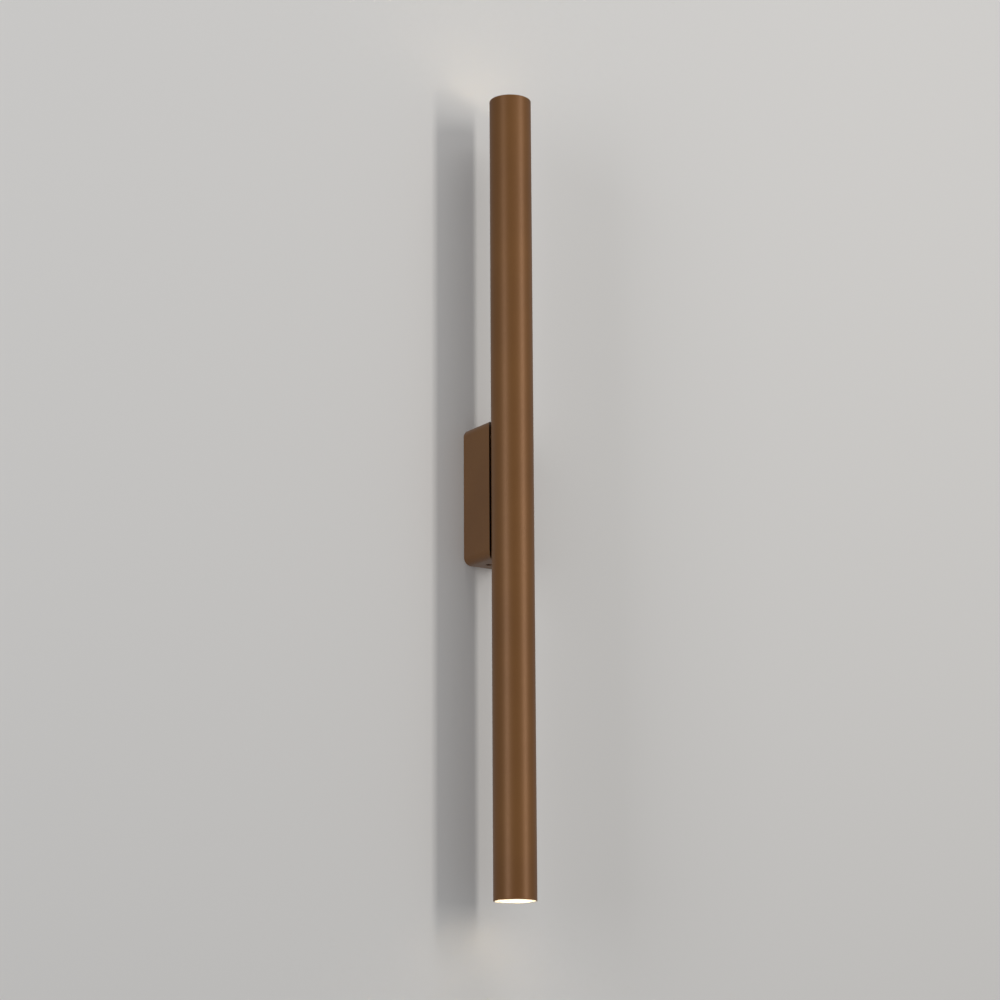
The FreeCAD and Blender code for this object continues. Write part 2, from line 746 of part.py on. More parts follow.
def make_end_plate():
    """Pressed disc that closes the tube under the lampholder, with a turned-down skirt."""
    body = new_body("upper_end_plate", 0, -mm.axis_to_wall, mm.rail_half)
    radius = tube_inside - mm.end_plate_play
    thick = mm.end_plate_thickness
    shape = sketch_on(body, "XZ_Plane", "Shape")
    skirt = mm.end_plate_skirt
    outline(shape, [(0, 0), (radius - thick, 0), (radius - thick, -skirt + thick), (radius, -skirt + thick),
                    (radius, thick / 2), (radius - thick / 2, thick), (0, thick)])
    turned(body, shape, "Z_Axis")
    notch = sketch_on(body, "XY_Plane", "RailNotch")
    rectangle(notch, -mm.rail_width / 2 - 0.5, mm.rail_width / 2 + 0.5, mm.axis_to_wall - rail_face - 0.5,
              radius + 1)
    pocket(body, notch, skirt)
    holes = sketch_on(body, "XY_Plane", "PlateHoles")
    for side in (-1, 1):
        circle(holes, 0, mm.holder_screw_pitch / 2 * side, mm.holder_screw / 2 + 0.1)
    slot(holes, 0, 0, 13, 5, upright=False)
    pocket(body, holes, thick + 1, forward=True)
    return body


def make_lampholder():
    """Ceramic two-pin holder: a flange for two screws and a block with the two pin wells."""
    body = new_body("upper_lampholder", 0, -mm.axis_to_wall, plate_top)
    flange = sketch_on(body, "XY_Plane", "HolderFlange")
    slot(flange, 0, 0, mm.holder_flange_length, mm.holder_flange_width)
    pad(body, flange, mm.holder_flange)
    block = sketch_on(body, "XY_Plane", "HolderBlock")
    slot(block, 0, 0, mm.holder_block_length, mm.holder_block_width, upright=False)
    pad(body, block, mm.holder_height)
    dress(body, "Chamfer", "HolderTop", 0.8,
          lambda edge: abs(edge.BoundBox.ZMin - mm.holder_height.value) + edge.BoundBox.ZLength < 0.01)
    wells = sketch_on(body, "XY_Plane", "PinWells", mm.holder_height)
    for side in (-1, 1):
        rectangle(wells, mm.pin_pitch / 2 * side - 1.5, mm.pin_pitch / 2 * side + 1.5, -1.9, 1.9)
    pocket(body, wells, mm.pin_length + 3)
    holes = sketch_on(body, "XY_Plane", "HolderHoles")
    for side in (-1, 1):
        circle(holes, 0, mm.holder_screw_pitch / 2 * side, mm.holder_screw / 2 + 0.1)
        circle(holes, mm.pin_pitch / 2 * side, 0, mm.lead_diameter / 2 + 0.1)
    pocket(body, holes, mm.holder_flange + 1, forward=True)
    return body


def make_contacts():
    """A sprung strip in each pin well, bent once towards the pin."""
    strips = []
    for name, side in (("left_contact", -1), ("right_contact", 1)):
        body = new_body(f"{name}_strip", mm.pin_pitch / 2 * side, -mm.axis_to_wall, lamp_seat)
        shape = sketch_on(body, "XZ_Plane", "Shape")
        depth = mm.pin_length + 3
        wide = sized(1.5 * side)
        near = sized(1.1 * side)
        outline(shape, [(wide, -1.5), (near, -1.5), (0.85 * side, -4), (near, -6.5), (near, -depth),
                        (wide, -depth), (wide, -6.5), (1.25 * side, -4)])
        pad(body, shape, 3, both=True)
        strips.append(body)
    return together("upper_contacts", strips)


def make_holder_screws():
    """Two cap screws through the holder and the end plate into the tapped tab."""
    screws = []
    for name, side in (("outer_holder_screw", -1), ("inner_holder_screw", 1)):
        body = new_body(name, 0, -mm.axis_to_wall + mm.holder_screw_pitch / 2 * side,
                        plate_top + mm.holder_flange)
        shape = sketch_on(body, "XZ_Plane", "Shape")
        radius = mm.holder_screw / 2
        reach = mm.holder_flange + mm.end_plate_thickness + mm.rail_thickness + 1.2
        outline(shape, [(0, 2), (2.2, 2), (2.7, 1.4), (2.7, 0), (radius, 0), (radius, -reach), (0, -reach)])
        turned(body, shape, "Z_Axis")
        drive = sketch_on(body, "XY_Plane", "Drive", 2)
        hexagon(drive, sized(2))
        pocket(body, drive, 1.2)
        screws.append(body)
    return together("upper_holder_screws", screws)


# ---- capsule lamp -----------------------------------------------------------------------------

def make_lamp_base():
    body = new_body("upper_lamp_base", 0, -mm.axis_to_wall, lamp_seat)
    shape = sketch_on(body, "XZ_Plane", "Shape")
    radius = mm.lamp_diameter / 2
    neck = radius - mm.cover_wall - 0.1
    outline(shape, [(0, 0), (radius - 1, 0), (radius, 3), (radius, mm.lamp_base), (neck, mm.lamp_base),
                    (neck, mm.lamp_base + 2), (0, mm.lamp_base + 2)])
    turned(body, shape, "Z_Axis")
    grip = sketch_on(body, "XY_Plane", "Grip", 4)
    rectangle(grip, radius - 0.5, radius + 1, -0.45, 0.45)
    groove = pocket(body, grip, mm.lamp_base - 5, forward=True)
    grooves = body.newObject("PartDesign::PolarPattern", "Grooves")
    grooves.Originals = [groove]
    for line in body.Origin.OriginFeatures:
        if line.Role == "Z_Axis":
            grooves.Axis = (line, [""])
    grooves.Angle = 360
    grooves.Occurrences = 8
    body.Tip = grooves
    return body


def make_lamp_pins():
    """Two bare loops of square wire, the contacts of the lamp."""
    loops = []
    wire = mm.pin_wire
    for name, side in (("left_pin", -1), ("right_pin", 1)):
        x = mm.pin_pitch / 2 * side - wire / 2
        low = lamp_seat - mm.pin_length
        bars = [primitive("Box", f"{name}_turn", x, -mm.axis_to_wall - mm.pin_loop / 2, low,
                          Length=wire, Width=mm.pin_loop, Height=wire)]
        for leg, near in (("outer", -mm.pin_loop / 2), ("inner", mm.pin_loop / 2 - wire)):
            bars.append(primitive("Box", f"{name}_{leg}", x, -mm.axis_to_wall + near, low,
                                  Length=wire, Width=wire, Height=mm.pin_length))
        loops.append(fused(name, bars))
    return together("upper_lamp_pins", loops)


def make_lamp_board():
    base = lamp_seat + mm.lamp_base + 2
    board = primitive("Box", "upper_lamp_board", -mm.board_width / 2, -mm.axis_to_wall - 0.5, base,
                      Length=mm.board_width, Width=1, Height=mm.board_length)
    board.Label = "upper_lamp_board"
    return board


def make_lamp_chips():
    """Light-emitting chips in two columns on each face of the board."""
    chips = []
    rows = 5
    step = mm.board_length / rows
    base = lamp_seat + mm.lamp_base + 2
    for row in range(rows):
        for column, across in (("left", -1), ("right", 1)):
            for face, out in (("front", -1.1), ("back", 0.5)):
                chips.append(primitive("Box", f"chip_{column}_{face}_{row}",
                                       mm.board_width / 4 * across - mm.chip_side / 2, -mm.axis_to_wall + out,
                                       base + step * (row + 0.5) - mm.chip_side / 2,
                                       Length=mm.chip_side, Width=0.6, Height=mm.chip_side))
    return together("upper_lamp_chips", chips)


def make_lamp_cover():
    """Thin clear cap: a straight wall, a sloping shoulder and a shallow point."""
    body = new_body("upper_lamp_cover", 0, -mm.axis_to_wall, lamp_seat)
    outer = mm.lamp_diameter / 2
    wall = mm.cover_wall
    top = mm.lamp_length
    slope = mm.cover_shoulder
    shape = sketch_on(body, "XZ_Plane", "Shape")
    outline(shape, [(outer - wall, mm.lamp_base), (outer, mm.lamp_base), (outer, top - slope - wall),
                    (outer - slope, top - wall), (0, top), (0, top - wall),
                    (outer - slope - wall / 2, top - wall * 2), (outer - wall, top - slope - wall * 1.5)])
    turned(body, shape, "Z_Axis")
    return body


# ---- terminal block and leads -----------------------------------------------------------------

block_axis = mm.boss_face - 7    # how far out of the wall the clamp sleeves lie


def make_terminal_block():
    """Three-pole connector: a foot with two ears, and one tower for each pole."""
    body = new_body("terminal_block", 0, -mm.boss_face, -mm.block_down)
    foot = sketch_on(body, "XZ_Plane", "Foot", -mm.block_foot)
    rounded_rectangle(foot, mm.block_width, mm.block_length - 5, sized(3))
    pad(body, foot, mm.block_foot)
    tower = sketch_on(body, "XZ_Plane", "Tower", -mm.block_height)
    rectangle(tower, mm.pole_pitch - 3.6, mm.pole_pitch + 3.6, -mm.block_length / 2, mm.block_length / 2)
    raised = pad(body, tower, mm.block_height)
    way = sketch_on(body, "XY_Plane", "WireWay")
    circle(way, mm.pole_pitch, 7, 2.6)
    through = pocket(body, way, mm.block_length + 2, both=True)
    drivers = sketch_on(body, "XZ_Plane", "DriverHoles", -7)
    for side in (-1, 1):
        circle(drivers, mm.pole_pitch, 3.2 * side, 1.8)
    sunk = pocket(body, drivers, 8)
    row = body.newObject("PartDesign::LinearPattern", "Poles")
    row.Originals = [raised, through, sunk]
    for line in body.Origin.OriginFeatures:
        if line.Role == "X_Axis":
            row.Direction = (line, [""])
    row.Reversed = True
    bind(row, "Length", mm.pole_pitch * 2)
    row.Occurrences = 3
    body.Tip = row
    document.recompute()
    ears = sketch_on(body, "XZ_Plane", "EarHoles")
    circle(ears, mm.block_screw_pitch / 2, 0, 1.6)
    circle(ears, -mm.block_screw_pitch / 2, 0, 1.6)
    pocket(body, ears, mm.block_foot + 1)
    return body


def make_clamp_sleeves():
    """Brass sleeves, one for each pole, cross-drilled for their screws."""
    sleeves = []
    for pole in (-1, 0, 1):
        x = mm.pole_pitch * pole
        name = f"sleeve_{pole + 2}"
        low = -mm.block_down - 5.5
        outer = primitive("Cylinder", f"{name}_outer", x, -block_axis, low, Radius=2.6, Height=11)
        inner = primitive("Prism", f"{name}_inner", x, -block_axis, low, Circumradius=1.7, Height=11)
        inner.Polygon = 12
        taps = []
        for side in (-1, 1):
            taps.append(primitive("Prism", f"{name}_tap_{side + 2}", x, -block_axis + 4,
                                  -mm.block_down + 3.2 * side, outwards, Circumradius=1.4, Height=4))
            taps[-1].Polygon = 8
        sleeves.append(cut(name, outer, fused(f"{name}_openings", [inner, *taps])))
    return together("clamp_sleeves", sleeves)


def make_clamp_screws():
    """Slotted cheese-head screws, two to a pole, sunk in the towers."""
    screws = []
    for pole in (-1, 0, 1):
        for side in (-1, 1):
            x = mm.pole_pitch * pole
            z = -mm.block_down + 3.2 * side
            name = f"clamp_{pole + 2}_{side + 2}"
            top = mm.boss_face - mm.block_height + 1
            shank = primitive("Prism", f"{name}_shank", x, -top, z, outwards, Circumradius=1.25,
                              Height=block_axis - top - 0.2)
            shank.Polygon = 8
            head = primitive("Prism", f"{name}_head", x, -top, z, outwards, Circumradius=1.7, Height=1.4)
            head.Polygon = 16
            slit = primitive("Box", f"{name}_slit", x - 2, -top - 0.8, z - 0.3, Length=4, Width=1, Height=0.6)
            screws.append(cut(name, fused(f"{name}_blank", [shank, head]), slit))
    return together("clamp_screws", screws)


def make_block_screws():
    screws = []
    for name, side in (("left_block_screw", -1), ("right_block_screw", 1)):
        screws.append(make_pan_screw(name, mm.block_screw_pitch / 2 * side, mm.boss_face - mm.block_foot,
                                     -mm.block_down, sized(2.6), sized(6.5), sized(5), sized(2), sized(2)))
    return together("block_screws", screws)


lug_angle = 38    # degrees from straight down, towards the earth pole
lug_reach = 14    # from the screw to the end of the crimp barrel


def make_earth_lug():
    """Ring terminal under the upper fixing screw: ring, tongue and crimp barrel."""
    body = new_body("earth_lug", 0, -mm.boss_face, fixing_up)
    body.Placement = Placement(Vector(), Rotation(Vector(0, 1, 0), -lug_angle))
    place(body, 0, -mm.boss_face, fixing_up)
    ring = sketch_on(body, "XZ_Plane", "Ring", -mm.washer_thickness)
    circle(ring, 0, 0, mm.washer_diameter / 2)
    pad(body, ring, mm.washer_thickness)
    tongue = sketch_on(body, "XZ_Plane", "Tongue", -mm.washer_thickness)
    rectangle(tongue, -1.7, 1.7, -9, -3)
    pad(body, tongue, mm.washer_thickness)
    barrel = sketch_on(body, "XY_Plane", "Barrel", -lug_reach)
    circle(barrel, 0, 1.7, 1.7)
    pad(body, barrel, 6)
    crimp = sketch_on(body, "XY_Plane", "Crimp", -lug_reach)
    circle(crimp, 0, 1.7, mm.lead_diameter / 2)
    pocket(body, crimp, 4, forward=True)
    hole = sketch_on(body, "XZ_Plane", "Hole")
    circle(hole, 0, 0, mm.fixing_bore / 2)
    pocket(body, hole, mm.washer_thickness + 1)
    return body


def bent_lead(label, points):
    """Insulated lead of one six-sided section along straight runs that tangent arcs join."""
    radius = mm.lead_diameter.value / 2
    widest = 14 * radius
    points = [Vector(*point) for point in points]
    edges = []
    start = points[0]
    tightest = widest
    for before, corner, after in zip(points, points[1:], points[2:]):
        arriving = (corner - before).normalize()
        leaving = (after - corner).normalize()
        turn = arriving.getAngle(leaving)
        run = min((corner - before).Length, (after - corner).Length)
        bend = min(0.45 * run / math.tan(turn / 2), widest)
        tightest = min(tightest, bend)
        reach = bend * math.tan(turn / 2)
        first = corner - arriving * reach
        last = corner + leaving * reach
        inwards = (leaving - arriving).normalize()
        centre = corner + inwards * (bend / math.cos(turn / 2))
        edges.append(Part.LineSegment(start, first).toShape())
        edges.append(Part.Arc(first, centre - inwards * bend, last).toShape())
        start = last
    edges.append(Part.LineSegment(start, points[-1]).toShape())
    path = Part.Wire(edges)
    along = (points[1] - points[0]).normalize()
    across = along.cross(Vector(1, 0, 0)).normalize() * radius
    corners = [points[0] + Rotation(along, 60 * corner).multVec(across) for corner in range(7)]
    section = Part.makePolygon(corners)
    solid = path.makePipeShell([section], True, False)
    expected = 1.5 * math.sqrt(3) * radius ** 2 * path.Length
    if abs(solid.Volume / expected - 1) > 0.01:
        raise RuntimeError(f"{label} has the wrong volume")
    print(f"{label}: {path.Length:.0f} mm long, tightest bend {tightest:.1f} mm")
    thing = document.addObject("Part::Feature", label)
    thing.Shape = solid
    thing.Label = label
    return thing


def lamp_lead(end, pole):
    """Lead from one lampholder down or up the rail, through the bush and into the terminal block."""
    up = 1 if end == "upper" else -1
    side = -1 if pole == "live" else 1
    axis = -mm.axis_to_wall.value
    half_space = mm.lead_spacing.value / 2
    well = mm.pin_pitch.value / 2 * side
    beside = half_space * side
    on_rail = -(rail_face.value + 0.9 + mm.lead_diameter.value / 2 + 0.05)
    holder = (plate_top + mm.holder_flange).value
    clip = mm.clip_pitch.value
    bush_height = half_space * up
    block_top = -mm.block_down.value + mm.block_length.value / 2
    at_block = -block_axis.value
    pole_x = (-mm.pole_pitch.value if pole == "live" else 0) + 1.1 * (up if pole == "neutral" else -up)
    over = 3.5 if end == "upper" else 0.6
    return bent_lead(f"{end}_{pole}_lead", [
        (well, axis, holder * up),
        (well, axis, (holder - 22) * up),
        (beside, on_rail, (clip * 3 + 14) * up),
        (beside, on_rail, (clip - 16) * up),
        (beside, on_rail - 7.5, (clip - 60) * up),
        (beside, on_rail - 7.5, bush_height),
        (beside, at_block + over, bush_height),
        (pole_x, at_block + over, block_top + 7),
        (pole_x, at_block, block_top - 2.5),
    ])


def make_leads():
    leads = []
    for end in ("upper", "lower"):
        for pole in ("live", "neutral"):
            leads.append(lamp_lead(end, pole))
    turn = math.radians(lug_angle)
    barrel = Vector(math.sin(turn), 0, -math.cos(turn))
    ring = Vector(0, -mm.boss_face.value + 1.7, fixing_up.value)
    start = ring + barrel * (lug_reach - 4)
    bent = ring + barrel * (lug_reach + 6)
    block_top = -mm.block_down.value + mm.block_length.value / 2
    earth_x = mm.pole_pitch.value
    leads.append(bent_lead("earth_lead", [
        tuple(start),
        tuple(bent),
        (earth_x + 4, -block_axis.value + 1, 22),
        (earth_x + 3, -block_axis.value + 1, 2),
        (earth_x, -block_axis.value, block_top + 8),
        (earth_x, -block_axis.value, block_top - 2.5),
    ]))
    return leads


# ---- the whole light --------------------------------------------------------------------------

pieces = [make_tube(), *make_housing_pieces(), make_spacer("upper", 1), make_spacer("lower", -1),
          make_fixing_screws(), make_fixing_washers(), make_wire_bush(), make_set_screw(),
          make_wall_bracket(), make_cable_bush(), make_earth_stud(), make_earth_washer(), make_earth_nut(),
          make_carrier_rail(), make_rail_nuts(), make_wire_clips(),
          make_terminal_block(), make_clamp_sleeves(), make_clamp_screws(), make_block_screws(),
          make_earth_lug(), *make_leads()]

for make in (make_end_plate, make_lampholder, make_contacts, make_holder_screws,
             make_lamp_base, make_lamp_pins, make_lamp_board, make_lamp_chips, make_lamp_cover):
    piece = make()
    pieces.append(piece)
    pieces.append(mirrored(piece.Label.replace("upper", "lower"), piece))

document.recompute()
for thing in document.Objects:
    if "Invalid" in thing.State or "Error" in thing.State:
        raise RuntimeError(f"{thing.Label} failed: {thing.State}")
for piece in pieces:
    if piece.Shape.isNull() or not piece.Shape.isValid() or piece.Shape.Volume <= 0:
        raise RuntimeError(f"{piece.Label} has no sound shape")

os.makedirs("parts", exist_ok=True)
for piece in pieces:
    piece.Shape.exportStep(f"parts/{piece.Label}.step")
    print(f"{piece.Label}: {len(piece.Shape.Solids)} solids, {piece.Shape.Volume / 1000:.2f} cm3")
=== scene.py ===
import math

import bpy
from mathutils import Matrix, Vector


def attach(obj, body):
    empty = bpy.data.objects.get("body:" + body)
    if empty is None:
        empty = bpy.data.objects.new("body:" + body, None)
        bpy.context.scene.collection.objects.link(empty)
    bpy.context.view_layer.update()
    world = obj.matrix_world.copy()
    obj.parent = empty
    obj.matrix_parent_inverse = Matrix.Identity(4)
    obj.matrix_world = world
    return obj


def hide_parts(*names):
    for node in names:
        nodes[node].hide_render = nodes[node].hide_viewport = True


# Tube wall light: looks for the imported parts. Metres, X right, Z up, the wall is Y = 0.
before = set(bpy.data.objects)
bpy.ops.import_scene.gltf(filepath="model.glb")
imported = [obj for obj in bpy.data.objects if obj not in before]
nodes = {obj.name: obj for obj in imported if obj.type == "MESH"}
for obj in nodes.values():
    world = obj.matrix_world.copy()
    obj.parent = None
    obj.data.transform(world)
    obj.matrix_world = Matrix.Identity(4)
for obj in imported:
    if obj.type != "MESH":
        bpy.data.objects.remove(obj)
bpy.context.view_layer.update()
tubeAxis = -0.072  # Y of the tube's centre line
print("frame loaded:", len(nodes), "nodes")


# small helpers

def addNode(tree, kind, links=None, **settings):
    # adds a node, sets its options, then links or fills its inputs
    node = tree.nodes.new(kind)
    for option, value in settings.items():
        setattr(node, option, value)
    for socket, source in (links or {}).items():
        if isinstance(source, bpy.types.NodeSocket):
            tree.links.new(source, node.inputs[socket])
        else:
            node.inputs[socket].default_value = source
    return node


def mathNode(tree, operation, first, second=0.0):
    return addNode(tree, "ShaderNodeMath", {0: first, 1: second}, operation=operation).outputs[0]


def fromSrgb(red, green, blue):
    # screen colour 0-255 to the linear values that the shader takes
    steps = [value / 255 for value in (red, green, blue)]
    return tuple(v / 12.92 if v <= 0.04045 else ((v + 0.055) / 1.055) ** 2.4 for v in steps) + (1.0,)


# shader groups that several finishes share

def newShaderGroup(name, inputs, outputs):
    group = bpy.data.node_groups.new(name, "ShaderNodeTree")
    for label, kind, value in inputs:
        socket = group.interface.new_socket(label, in_out="INPUT", socket_type=kind)
        if value is not None:
            socket.default_value = value
    for label, kind in outputs:
        group.interface.new_socket(label, in_out="OUTPUT", socket_type=kind)
    return group, group.nodes.new("NodeGroupInput"), group.nodes.new("NodeGroupOutput")


def buildPowderGrain():
    # fine leathery skin of a baked coat: small cells over a soft orange peel
    group, entry, leave = newShaderGroup(
        "powderGrain",
        [("Vector", "NodeSocketVector", None), ("Cell Size", "NodeSocketFloat", 0.0007),
         ("Peel Size", "NodeSocketFloat", 0.004)],
        [("Height", "NodeSocketFloat"), ("Pits", "NodeSocketFloat")])
    cellScale = mathNode(group, "DIVIDE", 1.0, entry.outputs["Cell Size"])
    peelScale = mathNode(group, "DIVIDE", 1.0, entry.outputs["Peel Size"])
    cells = addNode(group, "ShaderNodeTexVoronoi", {"Vector": entry.outputs["Vector"], "Scale": cellScale},
                    feature="SMOOTH_F1")
    peel = addNode(group, "ShaderNodeTexNoise",
                   {"Vector": entry.outputs["Vector"], "Scale": peelScale, "Detail": 3.0})
    low = mathNode(group, "MULTIPLY", peel.outputs["Fac"], 0.45)
    height = mathNode(group, "SUBTRACT", low, cells.outputs["Distance"])
    pits = addNode(group, "ShaderNodeMapRange",
                   {"Value": cells.outputs["Distance"], "From Min": 0.15, "From Max": 0.75})
    group.links.new(height, leave.inputs["Height"])
    group.links.new(pits.outputs["Result"], leave.inputs["Pits"])
    return group


def buildMottle():
    # slow drift between two tones, with a faint fine speckle
    group, entry, leave = newShaderGroup(
        "mottle",
        [("Vector", "NodeSocketVector", None), ("Tone A", "NodeSocketColor", (0.5, 0.5, 0.5, 1)),
         ("Tone B", "NodeSocketColor", (0.6, 0.6, 0.6, 1)), ("Patch Size", "NodeSocketFloat", 0.05),
         ("Speckle Size", "NodeSocketFloat", 0.0008), ("Speckle", "NodeSocketFloat", 0.15)],
        [("Color", "NodeSocketColor"), ("Mask", "NodeSocketFloat")])
    patchScale = mathNode(group, "DIVIDE", 1.0, entry.outputs["Patch Size"])
    speckleScale = mathNode(group, "DIVIDE", 1.0, entry.outputs["Speckle Size"])
    patch = addNode(group, "ShaderNodeTexNoise",
                    {"Vector": entry.outputs["Vector"], "Scale": patchScale, "Detail": 4.0})
    speckle = addNode(group, "ShaderNodeTexNoise",
                      {"Vector": entry.outputs["Vector"], "Scale": speckleScale, "Detail": 1.0})
    centred = mathNode(group, "SUBTRACT", speckle.outputs["Fac"], 0.5)
    grains = mathNode(group, "MULTIPLY", centred, entry.outputs["Speckle"])
    spread = addNode(group, "ShaderNodeMapRange",
                     {"Value": patch.outputs["Fac"], "From Min": 0.3, "From Max": 0.7})
    mask = addNode(group, "ShaderNodeMath", {0: spread.outputs["Result"], 1: grains},
                   operation="ADD", use_clamp=True)
    mix = addNode(group, "ShaderNodeMix", {0: mask.outputs[0], 6: entry.outputs["Tone A"],
                                           7: entry.outputs["Tone B"]}, data_type="RGBA")
    group.links.new(mix.outputs[2], leave.inputs["Color"])
    group.links.new(mask.outputs[0], leave.inputs["Mask"])
    return group


def buildEdgeWear():
    # how far the surface leans within a small radius: 0 on flats, 1 on rubbed edges
    group, entry, leave = newShaderGroup(
        "edgeWear",
        [("Vector", "NodeSocketVector", None), ("Width", "NodeSocketFloat", 0.0006),
         ("Patchiness", "NodeSocketFloat", 0.6)],
        [("Mask", "NodeSocketFloat")])
    soft = addNode(group, "ShaderNodeBevel", {"Radius": entry.outputs["Width"]}, samples=4)
    plain = addNode(group, "ShaderNodeNewGeometry")
    lean = addNode(group, "ShaderNodeVectorMath", {0: soft.outputs["Normal"], 1: plain.outputs["Normal"]},
                   operation="DOT_PRODUCT")
    edge = addNode(group, "ShaderNodeMapRange",
                   {"Value": lean.outputs["Value"], "From Min": 0.995, "From Max": 0.86})
    breaks = addNode(group, "ShaderNodeTexNoise",
                     {"Vector": entry.outputs["Vector"], "Scale": 260.0, "Detail": 3.0})
    patchy = addNode(group, "ShaderNodeMapRange",
                     {"Value": breaks.outputs["Fac"], "From Min": 0.35, "From Max": 0.65})
    gaps = mathNode(group, "MULTIPLY", patchy.outputs["Result"], entry.outputs["Patchiness"])
    kept = mathNode(group, "SUBTRACT", 1.0, gaps)
    group.links.new(mathNode(group, "MULTIPLY", edge.outputs["Result"], kept), leave.inputs["Mask"])
    return group


def buildDrawnLines():
    # rolling or drawing lines: noise stretched along one axis
    group, entry, leave = newShaderGroup(
        "drawnLines",
        [("Vector", "NodeSocketVector", None), ("Stretch", "NodeSocketVector", (1.0, 1.0, 0.02)),
         ("Line Size", "NodeSocketFloat", 0.0006)],
        [("Height", "NodeSocketFloat"), ("Mask", "NodeSocketFloat")])
    scale = mathNode(group, "DIVIDE", 1.0, entry.outputs["Line Size"])
    stretched = addNode(group, "ShaderNodeVectorMath",
                        {0: entry.outputs["Vector"], 1: entry.outputs["Stretch"]}, operation="MULTIPLY")
    lines = addNode(group, "ShaderNodeTexNoise",
                    {"Vector": stretched.outputs["Vector"], "Scale": scale, "Detail": 4.0})
    mask = addNode(group, "ShaderNodeMapRange",
                   {"Value": lines.outputs["Fac"], "From Min": 0.35, "From Max": 0.65})
    group.links.new(lines.outputs["Fac"], leave.inputs["Height"])
    group.links.new(mask.outputs["Result"], leave.inputs["Mask"])
    return group


groups = {"powderGrain": buildPowderGrain(), "mottle": buildMottle(),
          "edgeWear": buildEdgeWear(), "drawnLines": buildDrawnLines()}
print("shader groups built")


# finishes

def newFinish(name, **shaderValues):
    material = bpy.data.materials.new(name)
    material.use_nodes = True
    tree = material.node_tree
    shader = next(node for node in tree.nodes if node.type == "BSDF_PRINCIPLED")
    for label, value in shaderValues.items():
        shader.inputs[label.replace("_", " ")].default_value = value
    place = tree.nodes.new("ShaderNodeTexCoord").outputs["Object"]
    return material, tree, shader, place


def useGroup(tree, name, place, **values):
    node = tree.nodes.new("ShaderNodeGroup")
    node.node_tree = groups[name]
    tree.links.new(place, node.inputs["Vector"])
    for label, value in values.items():
        node.inputs[label.replace("_", " ")].default_value = value
    return node


def mixColours(tree, factor, first, second):
    mix = addNode(tree, "ShaderNodeMix", {0: factor}, data_type="RGBA")
    for slotNumber, source in ((6, first), (7, second)):
        if isinstance(source, bpy.types.NodeSocket):
            tree.links.new(source, mix.inputs[slotNumber])
        else:
            mix.inputs[slotNumber].default_value = source
    return mix.outputs[2]


def addBump(tree, shader, height, distance, strength=1.0):
    bump = addNode(tree, "ShaderNodeBump", {"Height": height, "Distance": distance, "Strength": strength})
    tree.links.new(bump.outputs["Normal"], shader.inputs["Normal"])


def roughBetween(tree, shader, mask, low, high):
    spread = addNode(tree, "ShaderNodeMapRange", {"Value": mask, "To Min": low, "To Max": high})
    tree.links.new(spread.outputs["Result"], shader.inputs["Roughness"])


def makeCoat():
    # satin bronze powder coat of the tube and the housing
    look = {"tone": fromSrgb(124, 81, 33), "toneWarm": fromSrgb(115, 73, 28),
            "rubbed": fromSrgb(156, 117, 68), "fleck": fromSrgb(184, 146, 92), "fleckScale": 1900.0,
            "fleckShare": 0.35, "metal": 0.34, "rough": (0.38, 0.54), "grainDepth": 0.00005,
            "lining": fromSrgb(238, 234, 224), "liningDull": fromSrgb(222, 216, 203), "boreRadius": 0.0248}
    material, tree, shader, place = newFinish("bronzeCoat", Coat_Roughness=0.38, Specular_IOR_Level=0.5,
                                              Coat_Weight=0.14)
    tones = useGroup(tree, "mottle", place, Tone_A=look["tone"], Tone_B=look["toneWarm"], Patch_Size=0.11,
                     Speckle_Size=0.0006, Speckle=0.5)
    wear = useGroup(tree, "edgeWear", place, Width=0.0005, Patchiness=0.55)
    grain = useGroup(tree, "powderGrain", place, Cell_Size=0.0006, Peel_Size=0.0035)
    flecks = addNode(tree, "ShaderNodeTexVoronoi", {"Vector": place, "Scale": look["fleckScale"]})
    glint = addNode(tree, "ShaderNodeMapRange",
                    {"Value": flecks.outputs["Distance"], "From Min": 0.16, "From Max": 0.05})
    worn = mixColours(tree, wear.outputs["Mask"], tones.outputs["Color"], look["rubbed"])
    share = mathNode(tree, "MULTIPLY", glint.outputs["Result"], look["fleckShare"])
    outside = mixColours(tree, share, worn, look["fleck"])
    # the bore is left pale, to throw the lamps' light out of both mouths
    split = addNode(tree, "ShaderNodeSeparateXYZ", {"Vector": place})
    across = mathNode(tree, "SUBTRACT", split.outputs["Y"], tubeAxis)
    squares = [mathNode(tree, "MULTIPLY", part, part) for part in (across, split.outputs["X"])]
    radius = mathNode(tree, "SQRT", mathNode(tree, "ADD", *squares))
    within = mathNode(tree, "LESS_THAN", radius, look["boreRadius"])
    lining = useGroup(tree, "mottle", place, Tone_A=look["lining"], Tone_B=look["liningDull"],
                      Patch_Size=0.03, Speckle_Size=0.0008, Speckle=0.4)
    tree.links.new(mixColours(tree, within, outside, lining.outputs["Color"]), shader.inputs["Base Color"])
    coated = mathNode(tree, "SUBTRACT", 1.0, within)
    tree.links.new(mathNode(tree, "MULTIPLY", coated, look["metal"]), shader.inputs["Metallic"])
    roughBetween(tree, shader, grain.outputs["Pits"], *look["rough"])
    addBump(tree, shader, grain.outputs["Height"], look["grainDepth"], 0.55)
    return material


